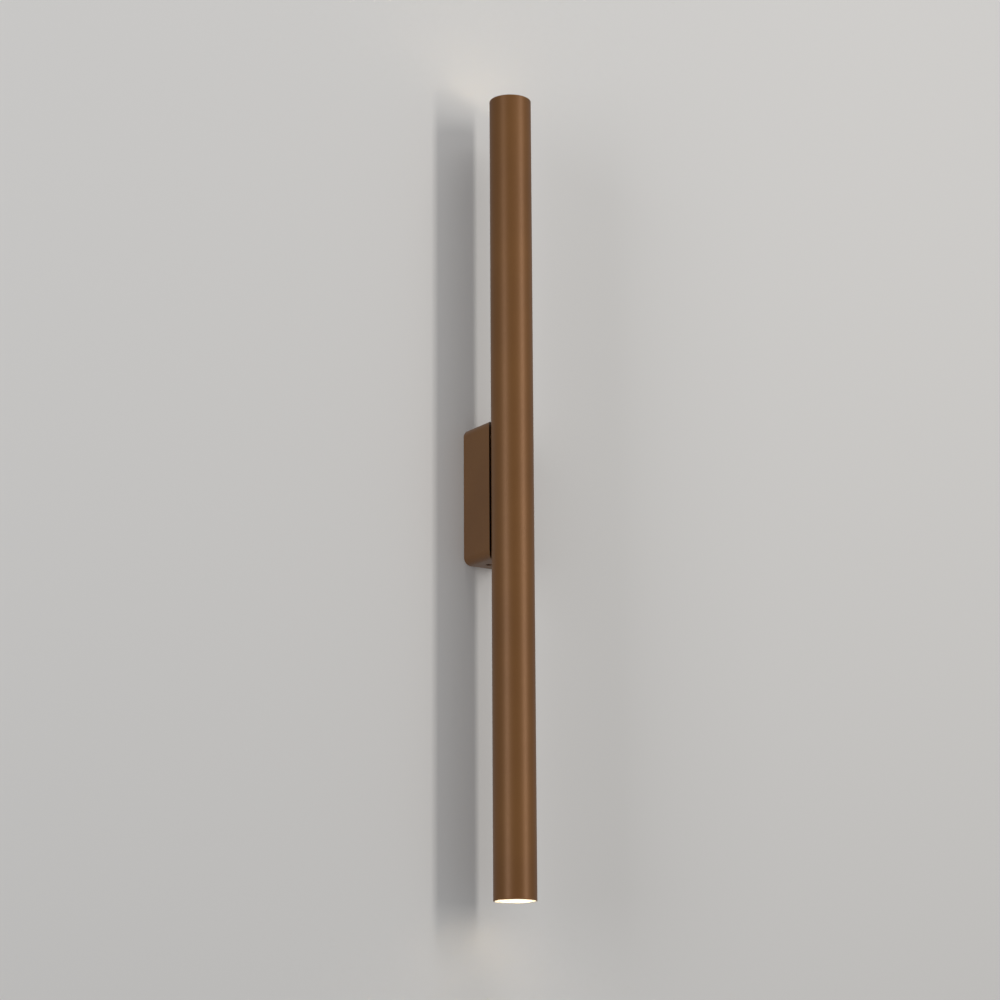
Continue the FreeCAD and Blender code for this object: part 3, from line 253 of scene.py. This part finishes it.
def makeRubber():
    material, tree, shader, place = newFinish("blackRubber", Specular_IOR_Level=0.35)
    tones = useGroup(tree, "mottle", place, Tone_A=fromSrgb(24, 22, 21), Tone_B=fromSrgb(36, 33, 31),
                     Patch_Size=0.006, Speckle_Size=0.0004, Speckle=0.6)
    grain = useGroup(tree, "powderGrain", place, Cell_Size=0.0004, Peel_Size=0.002)
    tree.links.new(tones.outputs["Color"], shader.inputs["Base Color"])
    roughBetween(tree, shader, grain.outputs["Pits"], 0.68, 0.88)
    addBump(tree, shader, grain.outputs["Height"], 0.00003, 0.5)
    return material


def makeMetal(name, toneA, toneB, rubbed, stretch, lineSize, roughLow, roughHigh, metallic=1.0):
    # plated, drawn or oxidised metal: tone drift, drawing lines and bright edges
    material, tree, shader, place = newFinish(name, Metallic=metallic)
    tones = useGroup(tree, "mottle", place, Tone_A=toneA, Tone_B=toneB, Patch_Size=0.012,
                     Speckle_Size=0.0005, Speckle=0.5)
    lines = useGroup(tree, "drawnLines", place, Stretch=stretch, Line_Size=lineSize)
    wear = useGroup(tree, "edgeWear", place, Width=0.0003, Patchiness=0.4)
    tree.links.new(mixColours(tree, wear.outputs["Mask"], tones.outputs["Color"], rubbed),
                   shader.inputs["Base Color"])
    roughBetween(tree, shader, lines.outputs["Mask"], roughLow, roughHigh)
    addBump(tree, shader, lines.outputs["Height"], 0.00002, 0.5)
    return material


def makeMoulded(name, toneA, toneB, roughLow, roughHigh, cellSize, depth, gloss=0.0, soft=0.0):
    # moulded plastic, ceramic or silicone: faint mottle and mould texture
    material, tree, shader, place = newFinish(name, Coat_Weight=gloss, Coat_Roughness=0.12,
                                              Subsurface_Weight=soft, Subsurface_Scale=0.002)
    tones = useGroup(tree, "mottle", place, Tone_A=toneA, Tone_B=toneB, Patch_Size=0.008,
                     Speckle_Size=0.0007, Speckle=0.4)
    grain = useGroup(tree, "powderGrain", place, Cell_Size=cellSize, Peel_Size=cellSize * 6)
    tree.links.new(tones.outputs["Color"], shader.inputs["Base Color"])
    roughBetween(tree, shader, grain.outputs["Pits"], roughLow, roughHigh)
    addBump(tree, shader, grain.outputs["Height"], depth, 0.5)
    return material


def makeEarthSleeve():
    # green sleeve with two yellow stripes; "around" runs 0-1 round the wire
    look = {"green": fromSrgb(36, 112, 52), "greenDark": fromSrgb(28, 96, 44),
            "yellow": fromSrgb(226, 196, 40)}
    material, tree, shader, place = newFinish("earthSleeve", Coat_Weight=0.1, Coat_Roughness=0.3)
    tones = useGroup(tree, "mottle", place, Tone_A=look["green"], Tone_B=look["greenDark"], Patch_Size=0.01,
                     Speckle_Size=0.0006, Speckle=0.4)
    grain = useGroup(tree, "powderGrain", place, Cell_Size=0.0004, Peel_Size=0.003)
    around = addNode(tree, "ShaderNodeAttribute", attribute_name="around")
    twice = mathNode(tree, "FRACT", mathNode(tree, "MULTIPLY", around.outputs["Fac"], 2.0))
    away = mathNode(tree, "ABSOLUTE", mathNode(tree, "SUBTRACT", twice, 0.5))
    stripe = addNode(tree, "ShaderNodeMapRange", {"Value": away, "From Min": 0.20, "From Max": 0.18})
    tree.links.new(mixColours(tree, stripe.outputs["Result"], tones.outputs["Color"], look["yellow"]),
                   shader.inputs["Base Color"])
    roughBetween(tree, shader, grain.outputs["Pits"], 0.42, 0.58)
    addBump(tree, shader, grain.outputs["Height"], 0.00002, 0.4)
    return material


def makeBoardWithPaintedGlow():
    # white circuit board with copper tracks showing under the mask; board and tracks carry a faint painted
    # glow in their own colours, though the board is no lamp
    material, tree, shader, place = newFinish("boardWhitePaintedGlow", Coat_Weight=0.3, Coat_Roughness=0.2,
                                              Emission_Strength=0.6)
    tones = useGroup(tree, "mottle", place, Tone_A=fromSrgb(228, 228, 222), Tone_B=fromSrgb(214, 214, 206),
                     Patch_Size=0.01, Speckle_Size=0.0005, Speckle=0.3)
    tracks = addNode(tree, "ShaderNodeTexBrick", {"Vector": place, "Scale": 190.0, "Mortar Size": 0.03,
                     "Color1": (0, 0, 0, 1), "Color2": (0, 0, 0, 1), "Mortar": (1, 1, 1, 1)})
    tracks.offset = 0.25
    colour = mixColours(tree, mathNode(tree, "MULTIPLY", tracks.outputs["Fac"], 0.5),
                        tones.outputs["Color"], fromSrgb(196, 176, 140))
    tree.links.new(colour, shader.inputs["Base Color"])
    # painted glow: the board's colours are also given off as light, at the faint strength set above
    tree.links.new(colour, shader.inputs["Emission Color"])
    roughBetween(tree, shader, tones.outputs["Mask"], 0.35, 0.5)
    addBump(tree, shader, tracks.outputs["Fac"], 0.00002, 0.4)
    return material


def makeLit(name, warm, core, strength, patchSize):
    # surfaces that give off the lamp's light, a little uneven
    material, tree, shader, place = newFinish(name, Emission_Strength=strength)
    tones = useGroup(tree, "mottle", place, Tone_A=warm, Tone_B=core, Patch_Size=patchSize,
                     Speckle_Size=0.0004, Speckle=0.3)
    tree.links.new(tones.outputs["Color"], shader.inputs["Base Color"])
    tree.links.new(tones.outputs["Color"], shader.inputs["Emission Color"])
    roughBetween(tree, shader, tones.outputs["Mask"], 0.35, 0.55)
    addBump(tree, shader, tones.outputs["Mask"], 0.00001, 0.3)
    return material


def makeCover():
    # frosted lamp cover, lit from within
    look = {"warm": fromSrgb(255, 244, 226), "core": fromSrgb(255, 250, 240), "rim": fromSrgb(96, 86, 68),
            "glow": 4.6}
    material, tree, shader, place = newFinish("lampCover", Transmission_Weight=0.55, IOR=1.46,
                                              Emission_Strength=look["glow"])
    tones = useGroup(tree, "mottle", place, Tone_A=look["warm"], Tone_B=look["core"],
                     Patch_Size=0.008, Speckle_Size=0.0005, Speckle=0.3)
    grain = useGroup(tree, "powderGrain", place, Cell_Size=0.0003, Peel_Size=0.002)
    tree.links.new(tones.outputs["Color"], shader.inputs["Base Color"])
    # the glow is dimmer and warmer where the wall of the cover is seen edge on
    facing = addNode(tree, "ShaderNodeLayerWeight", {"Blend": 0.5})
    rim = addNode(tree, "ShaderNodeMapRange",
                  {"Value": facing.outputs["Facing"], "From Min": 0.25, "From Max": 0.9})
    tree.links.new(mixColours(tree, rim.outputs["Result"], tones.outputs["Color"], look["rim"]),
                   shader.inputs["Emission Color"])
    roughBetween(tree, shader, grain.outputs["Pits"], 0.30, 0.48)
    addBump(tree, shader, grain.outputs["Height"], 0.00002, 0.5)
    return material


finishes = {
    "bronze_coat": makeCoat(),
    "black_rubber": makeRubber(),
    "zinc_steel": makeMetal("zincSteel", fromSrgb(176, 180, 184), fromSrgb(160, 165, 170),
                            fromSrgb(214, 216, 218), (1.0, 1.0, 0.03), 0.0006, 0.26, 0.42),
    "black_steel": makeMetal("blackSteel", fromSrgb(34, 32, 32), fromSrgb(46, 43, 42),
                             fromSrgb(96, 92, 90), (1.0, 1.0, 0.05), 0.0004, 0.38, 0.55, 0.7),
    "plain_brass": makeMetal("plainBrass", fromSrgb(198, 160, 84), fromSrgb(182, 142, 70),
                             fromSrgb(230, 200, 130), (1.0, 1.0, 0.05), 0.0004, 0.24, 0.40),
    "tinned_copper": makeMetal("tinnedCopper", fromSrgb(190, 186, 178), fromSrgb(172, 166, 156),
                               fromSrgb(206, 150, 112), (1.0, 0.05, 1.0), 0.0005, 0.28, 0.46),
    "bare_nickel": makeMetal("bareNickel", fromSrgb(196, 192, 182), fromSrgb(180, 176, 166),
                             fromSrgb(222, 220, 214), (1.0, 1.0, 0.04), 0.0003, 0.18, 0.32),
    "white_nylon": makeMoulded("whiteNylon", fromSrgb(226, 224, 214), fromSrgb(216, 213, 202),
                               0.42, 0.58, 0.0006, 0.00003, 0.0, 0.15),
    "white_ceramic": makeMoulded("whiteCeramic", fromSrgb(236, 233, 224), fromSrgb(224, 220, 209),
                                 0.30, 0.55, 0.0009, 0.00004, 0.15, 0.05),
    "lamp_plastic": makeMoulded("lampPlastic", fromSrgb(238, 238, 234), fromSrgb(228, 228, 223),
                                0.34, 0.48, 0.0005, 0.00002, 0.1, 0.1),
    "brown_sleeve": makeMoulded("brownSleeve", fromSrgb(92, 54, 32), fromSrgb(82, 46, 27),
                                0.42, 0.58, 0.0004, 0.00002, 0.1, 0.0),
    "blue_sleeve": makeMoulded("blueSleeve", fromSrgb(40, 84, 156), fromSrgb(34, 74, 142),
                               0.42, 0.58, 0.0004, 0.00002, 0.1, 0.0),
    "earth_sleeve": makeEarthSleeve(),
    "board_white": makeBoardWithPaintedGlow(),
    "lit_phosphor": makeLit("chipBody", fromSrgb(250, 240, 214), fromSrgb(255, 250, 236), 6.0, 0.002),
    "lamp_cover": makeCover(),
}
phosphorFace = makeLit("phosphorFace", fromSrgb(255, 214, 120), fromSrgb(255, 226, 150), 14.0, 0.001)
print("finishes made:", len(finishes) + 1)

# every carried-over node takes the finish that the record names for it
for node in nodes.values():
    for holder in node.material_slots:
        holder.material = finishes[holder.material.name.split(".")[0]]
print("nodes dressed:", len(nodes))


# Geometry Nodes

def newTree(name, inputs):
    tree = bpy.data.node_groups.new(name, "GeometryNodeTree")
    tree.interface.new_socket("Geometry", in_out="OUTPUT", socket_type="NodeSocketGeometry")
    tree.interface.new_socket("Geometry", in_out="INPUT", socket_type="NodeSocketGeometry")
    for label, kind in inputs:
        tree.interface.new_socket(label, in_out="INPUT", socket_type=kind)
    return tree, tree.nodes.new("NodeGroupInput"), tree.nodes.new("NodeGroupOutput")


def endTree(tree, entry, leave, geometry):
    # real mesh, smooth, with its finish: what every tree ends in
    smooth = addNode(tree, "GeometryNodeSetShadeSmooth", {"Geometry": geometry})
    real = addNode(tree, "GeometryNodeRealizeInstances", {"Geometry": smooth.outputs[0]})
    finish = addNode(tree, "GeometryNodeSetMaterial",
                     {"Geometry": real.outputs[0], "Material": entry.outputs["Finish"]})
    tree.links.new(finish.outputs[0], leave.inputs[0])
    return tree


def buildSweepTree():
    # a wire along a route: corners rounded to the bend radius, round section, closed ends
    tree, entry, leave = newTree("wireAlongRoute", [
        ("Bend Radius", "NodeSocketFloat"), ("Wire Radius", "NodeSocketFloat"), ("Sides", "NodeSocketInt"),
        ("Bend Steps", "NodeSocketInt"), ("Finish", "NodeSocketMaterial")])
    rounded = addNode(tree, "GeometryNodeFilletCurve", {
        "Curve": entry.outputs["Geometry"], "Count": entry.outputs["Bend Steps"],
        "Radius": entry.outputs["Bend Radius"], "Limit Radius": True}, mode="POLY")
    section = addNode(tree, "GeometryNodeCurvePrimitiveCircle", {
        "Radius": entry.outputs["Wire Radius"], "Resolution": entry.outputs["Sides"]})
    travel = addNode(tree, "GeometryNodeSplineParameter")
    marked = addNode(tree, "GeometryNodeStoreNamedAttribute", {
        "Geometry": section.outputs["Curve"], "Name": "around", "Value": travel.outputs["Factor"]},
        data_type="FLOAT", domain="POINT")
    swept = addNode(tree, "GeometryNodeCurveToMesh", {
        "Curve": rounded.outputs["Curve"], "Profile Curve": marked.outputs["Geometry"], "Fill Caps": True})
    return endTree(tree, entry, leave, swept.outputs["Mesh"])


def buildThreadTree():
    # a helical ridge at each point of the given mesh, turned to the screw's axis
    tree, entry, leave = newTree("screwThread", [
        ("Thread Radius", "NodeSocketFloat"), ("Ridge", "NodeSocketFloat"), ("Turns", "NodeSocketFloat"),
        ("Length", "NodeSocketFloat"), ("Axis Turn", "NodeSocketVector"), ("Finish", "NodeSocketMaterial")])
    helix = addNode(tree, "GeometryNodeCurveSpiral", {
        "Resolution": 24, "Rotations": entry.outputs["Turns"], "Start Radius": entry.outputs["Thread Radius"],
        "End Radius": entry.outputs["Thread Radius"], "Height": entry.outputs["Length"]})
    tooth = addNode(tree, "GeometryNodeCurvePrimitiveCircle", {
        "Resolution": 4, "Radius": entry.outputs["Ridge"]})
    ridge = addNode(tree, "GeometryNodeCurveToMesh", {
        "Curve": helix.outputs["Curve"], "Profile Curve": tooth.outputs["Curve"], "Fill Caps": True})
    placed = addNode(tree, "GeometryNodeInstanceOnPoints", {
        "Points": entry.outputs["Geometry"], "Instance": ridge.outputs["Mesh"],
        "Rotation": entry.outputs["Axis Turn"]})
    return endTree(tree, entry, leave, placed.outputs["Instances"])


def buildPadTree():
    # a small low round pad, facing along Y, on each point of the given mesh
    tree, entry, leave = newTree("padOnPoints", [
        ("Side", "NodeSocketFloat"), ("Height", "NodeSocketFloat"), ("Corners", "NodeSocketInt"),
        ("Finish", "NodeSocketMaterial")])
    pad = addNode(tree, "GeometryNodeMeshCylinder", {
        "Vertices": entry.outputs["Corners"], "Radius": entry.outputs["Side"],
        "Depth": entry.outputs["Height"], "Side Segments": 1, "Fill Segments": 1}, fill_type="NGON")
    turn = addNode(tree, "ShaderNodeCombineXYZ", {"X": math.radians(90)})
    placed = addNode(tree, "GeometryNodeInstanceOnPoints", {
        "Points": entry.outputs["Geometry"], "Instance": pad.outputs["Mesh"],
        "Rotation": turn.outputs["Vector"]})
    return endTree(tree, entry, leave, placed.outputs["Instances"])


trees = {"sweep": buildSweepTree(), "thread": buildThreadTree(), "pad": buildPadTree()}


def grow(name, source, tree, values, body, replaced=()):
    # runs a tree on a source object and keeps the result as one plain mesh on its body
    modifier = source.modifiers.new("grow", "NODES")
    modifier.node_group = trees[tree]
    for item in trees[tree].interface.items_tree:
        if item.in_out == "INPUT" and item.name in values:
            modifier[item.identifier] = values[item.name]
    source.update_tag()
    bpy.context.view_layer.update()
    ready = source.evaluated_get(bpy.context.evaluated_depsgraph_get())
    mesh = bpy.data.meshes.new_from_object(ready)
    source.modifiers.remove(modifier)
    bpy.data.objects.remove(source)
    mesh.name = name
    piece = bpy.data.objects.new(name, mesh)
    bpy.context.scene.collection.objects.link(piece)
    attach(piece, body)
    if replaced:
        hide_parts(*replaced)
    return piece


def routeObject(name, routes):
    curve = bpy.data.curves.new(name, "CURVE")
    curve.dimensions = "3D"
    for route in routes:
        spline = curve.splines.new("POLY")
        spline.points.add(len(route) - 1)
        for point, place in zip(spline.points, route):
            point.co = (*place, 1.0)
    source = bpy.data.objects.new(name, curve)
    bpy.context.scene.collection.objects.link(source)
    return source


def pointObject(name, places):
    mesh = bpy.data.meshes.new(name)
    mesh.from_pydata([tuple(place) for place in places], [], [])
    source = bpy.data.objects.new(name, mesh)
    bpy.context.scene.collection.objects.link(source)
    return source


# leads

wiring = {
    "sleeveRadius": 0.001, "bendRadius": 0.007, "earthBendRadius": 0.012, "sides": 18, "bendSteps": 9,
    "wellAcross": 0.0045, "wellTop": 0.4362, "wellMouth": 0.4142,  # in the lampholder
    "beside": 0.00125, "onRail": -0.05326, "ontoRail": 0.374, "offRail": 0.104,  # along the carrier rail
    "arch": -0.06076, "archStart": 0.060, "bushStep": 0.00125,  # over to the wire bush
    "fanOut": -0.016, "atBlock": -0.0336, "blockTop": -0.0255,  # into the terminal block
    "upper": {"live": (-0.0096, -0.0301), "neutral": (0.0011, -0.0301)},
    "lower": {"live": (-0.0074, -0.0330), "neutral": (-0.0011, -0.0330)},
    "earth": [(0.00616, -0.0389, 0.05212), (0.01231, -0.0389, 0.04424), (0.0125, -0.0326, 0.022),
              (0.0115, -0.0326, 0.002), (0.0085, -0.0336, -0.015), (0.0085, -0.0336, -0.0255)],
}


def leadRoute(end, pole):
    # lampholder, along the rail, through the bush and into the terminal block
    up = 1 if end == "upper" else -1
    side = -1 if pole == "live" else 1
    well, beside = wiring["wellAcross"] * side, wiring["beside"] * side
    poleAcross, over = wiring[end][pole]
    bush = wiring["bushStep"] * up
    return [(well, tubeAxis, wiring["wellTop"] * up), (well, tubeAxis, wiring["wellMouth"] * up),
            (beside, wiring["onRail"], wiring["ontoRail"] * up),
            (beside, wiring["onRail"], wiring["offRail"] * up),
            (beside, wiring["arch"], wiring["archStart"] * up), (beside, wiring["arch"], bush),
            (beside, over, bush), (poleAcross, over, wiring["fanOut"]),
            (poleAcross, wiring["atBlock"], wiring["blockTop"])]


for end in ("upper", "lower"):
    for pole, slotName in (("live", "brown_sleeve"), ("neutral", "blue_sleeve")):
        node = f"{end}_{pole}_lead"
        grow(f"{end}{pole.title()}Sleeve", routeObject(node + "_route", [leadRoute(end, pole)]), "sweep",
             {"Bend Radius": wiring["bendRadius"], "Wire Radius": wiring["sleeveRadius"],
              "Sides": wiring["sides"], "Bend Steps": wiring["bendSteps"], "Finish": finishes[slotName]},
             "fixture", [node])
grow("earthSleeve", routeObject("earth_route", [wiring["earth"]]), "sweep",
     {"Bend Radius": wiring["earthBendRadius"], "Wire Radius": wiring["sleeveRadius"],
      "Sides": wiring["sides"], "Bend Steps": wiring["bendSteps"], "Finish": finishes["earth_sleeve"]},
     "fixture", ["earth_lead"])
print("leads swept")


# lamp details

lampDetail = {
    "seat": 0.449, "pinPitch": 0.009, "pinRadius": 0.0004, "pinLength": 0.0065, "pinEmbed": 0.0005,
    "loopHalf": 0.0008, "loopBend": 0.0007, "loopSides": 14, "loopSteps": 6,
    "boardLow": 0.013, "boardLong": 0.027, "boardWide": 0.009, "rows": 5, "chipFace": 0.0011,
    "windowSide": 0.0012, "windowThick": 0.00012, "windowCorners": 20,
}

for end, up in (("upper", 1), ("lower", -1)):
    seat = lampDetail["seat"] * up
    loops = []
    for side in (-1, 1):
        x = lampDetail["pinPitch"] / 2 * side
        tip = seat - lampDetail["pinLength"] * up + lampDetail["pinRadius"] * up
        near, far = tubeAxis - lampDetail["loopHalf"], tubeAxis + lampDetail["loopHalf"]
        root = seat + lampDetail["pinEmbed"] * up
        loops.append([(x, near, root), (x, near, tip), (x, far, tip), (x, far, root)])
    grow(f"{end}PinLoops", routeObject(f"{end}_pin_route", loops), "sweep",
         {"Bend Radius": lampDetail["loopBend"], "Wire Radius": lampDetail["pinRadius"],
          "Sides": lampDetail["loopSides"], "Bend Steps": lampDetail["loopSteps"],
          "Finish": finishes["bare_nickel"]}, f"{end}_lamp", [f"{end}_lamp_pins"])

    windows = []
    step = lampDetail["boardLong"] / lampDetail["rows"]
    for row in range(lampDetail["rows"]):
        height = (lampDetail["seat"] + lampDetail["boardLow"] + step * (row + 0.5)) * up
        for column in (-1, 1):
            for face in (-1, 1):
                windows.append((lampDetail["boardWide"] / 4 * column,
                                tubeAxis + lampDetail["chipFace"] * face, height))
    grow(f"{end}ChipWindows", pointObject(f"{end}_windows", windows), "pad",
         {"Side": lampDetail["windowSide"], "Height": lampDetail["windowThick"],
          "Corners": lampDetail["windowCorners"], "Finish": phosphorFace},
         f"{end}_lamp")
print("lamp details made")


# screw threads

threads = {
    "fixingThreads": {"places": [(0, -0.0553, 0.06), (0, -0.0560, -0.06)], "radius": 0.00196,
                      "ridge": 0.00014, "pitch": 0.0007, "length": 0.0150, "turn": (-math.pi / 2, 0, 0),
                      "body": "fixture", "slot": "zinc_steel"},
    "studThread": {"places": [(0.011, -0.0136, 0.027)], "radius": 0.00196, "ridge": 0.00014,
                   "pitch": 0.0007, "length": 0.0108, "turn": (-math.pi / 2, 0, 0),
                   "body": "bracket", "slot": "zinc_steel"},
    "setScrewThread": {"places": [(0, -0.018, -0.0815)], "radius": 0.00192, "ridge": 0.00013,
                       "pitch": 0.0007, "length": 0.0062, "turn": (0, 0, 0),
                       "body": "set_screw", "slot": "black_steel"},
}
for name, thread in threads.items():
    grow(name, pointObject(name + "_points", thread["places"]), "thread",
         {"Thread Radius": thread["radius"], "Ridge": thread["ridge"],
          "Turns": thread["length"] / thread["pitch"], "Length": thread["length"],
          "Axis Turn": thread["turn"], "Finish": finishes[thread["slot"]]},
         thread["body"])
print("threads cut")


# stage

stageLook = {"wallHalf": 4.0, "wallBehind": 0.0006, "floorDrop": 1.35, "wallTone": (0.70, 0.69, 0.68, 1.0),
             "wallRough": 0.9}


def makeStagePlane(name, corners):
    mesh = bpy.data.meshes.new(name)
    mesh.from_pydata(corners, [], [(0, 1, 2, 3)])
    plane = bpy.data.objects.new(name, mesh)
    bpy.context.scene.collection.objects.link(plane)
    return plane


def makeStageFinish():
    # matt pale paint, shown to the camera only and from its front only, so that it hides
    # nothing from behind and the bracket's back doesn't mirror the unlit wall
    material = bpy.data.materials.new("stagePaint")
    material.use_nodes = True
    tree = material.node_tree
    shader = next(node for node in tree.nodes if node.type == "BSDF_PRINCIPLED")
    shader.inputs["Base Color"].default_value = stageLook["wallTone"]
    shader.inputs["Roughness"].default_value = stageLook["wallRough"]
    clear = tree.nodes.new("ShaderNodeBsdfTransparent")
    facing = tree.nodes.new("ShaderNodeNewGeometry")
    path = tree.nodes.new("ShaderNodeLightPath")
    front = mathNode(tree, "SUBTRACT", 1.0, facing.outputs["Backfacing"])
    mix = tree.nodes.new("ShaderNodeMixShader")
    tree.links.new(mathNode(tree, "MULTIPLY", path.outputs["Is Camera Ray"], front), mix.inputs[0])
    tree.links.new(clear.outputs[0], mix.inputs[1])
    tree.links.new(shader.outputs[0], mix.inputs[2])
    output = next(node for node in tree.nodes if node.type == "OUTPUT_MATERIAL")
    tree.links.new(mix.outputs[0], output.inputs["Surface"])
    return material


stagePaint = makeStageFinish()
half, low, back = stageLook["wallHalf"], -stageLook["floorDrop"], stageLook["wallBehind"]
wall = makeStagePlane("backdropWall", [(-half, back, low), (half, back, low),
                                       (half, back, half), (-half, back, half)])
floor = makeStagePlane("paleFloor", [(-half, -half * 2, low), (half, -half * 2, low),
                                     (half, back, low), (-half, back, low)])
for plane in (wall, floor):
    plane.data.materials.append(stagePaint)
print("stage set")


# light and camera

lightSetup = {
    "key": {"place": (1.32, -2.70, 0.5), "size": (0.30, 2.4), "power": 30, "tone": (1.0, 0.97, 0.92)},
    "leftFill": {"place": (-2.75, -1.05, 0.3), "size": (0.7, 2.4), "power": 24, "tone": (0.96, 0.98, 1.0)},
    "topFill": {"place": (0.4, -2.0, 2.9), "size": (2.2, 1.6), "power": 26, "tone": (1.0, 1.0, 1.0)},
}
worldLook = {"tone": (0.93, 0.94, 0.95, 1), "strength": 0.36}
aim = Vector((0, -0.07, 0))
for name, lamp in lightSetup.items():
    data = bpy.data.lights.new(name, "AREA")
    data.shape = "RECTANGLE"
    data.size, data.size_y = lamp["size"]
    data.energy = lamp["power"]
    data.color = lamp["tone"]
    light = bpy.data.objects.new(name, data)
    light.location = lamp["place"]
    light.rotation_euler = (aim - light.location).to_track_quat("-Z", "Y").to_euler()
    bpy.context.scene.collection.objects.link(light)

world = bpy.data.worlds.new("studio")
bpy.context.scene.world = world
world.use_nodes = True
sky = next(node for node in world.node_tree.nodes if node.type == "BACKGROUND")
sky.inputs["Color"].default_value = worldLook["tone"]
sky.inputs["Strength"].default_value = worldLook["strength"]

viewpoint = {"place": (-1.790152, -2.814864, -0.823784), "towards": (0.526809, 0.815514, 0.239604),
             "roll": -0.0054, "lens": 100.08, "sensor": 36, "clip": (0.05, 60)}
ahead = Vector(viewpoint["towards"]).normalized()
level = ahead.cross(Vector((0, 0, 1))).normalized()
upright = level.cross(ahead)
roll = viewpoint["roll"]
right = level * math.cos(roll) + upright * math.sin(roll)
above = upright * math.cos(roll) - level * math.sin(roll)
camera = bpy.data.objects.new("camera", bpy.data.cameras.new("camera"))
camera.data.lens = viewpoint["lens"]
camera.data.sensor_width = viewpoint["sensor"]
camera.data.clip_start, camera.data.clip_end = viewpoint["clip"]
turn = Matrix((right, above, -ahead)).transposed()
camera.matrix_world = Matrix.Translation(viewpoint["place"]) @ turn.to_4x4()
bpy.context.scene.collection.objects.link(camera)
bpy.context.scene.camera = camera
bpy.context.scene.view_settings.view_transform = "Standard"
print("light and camera set")
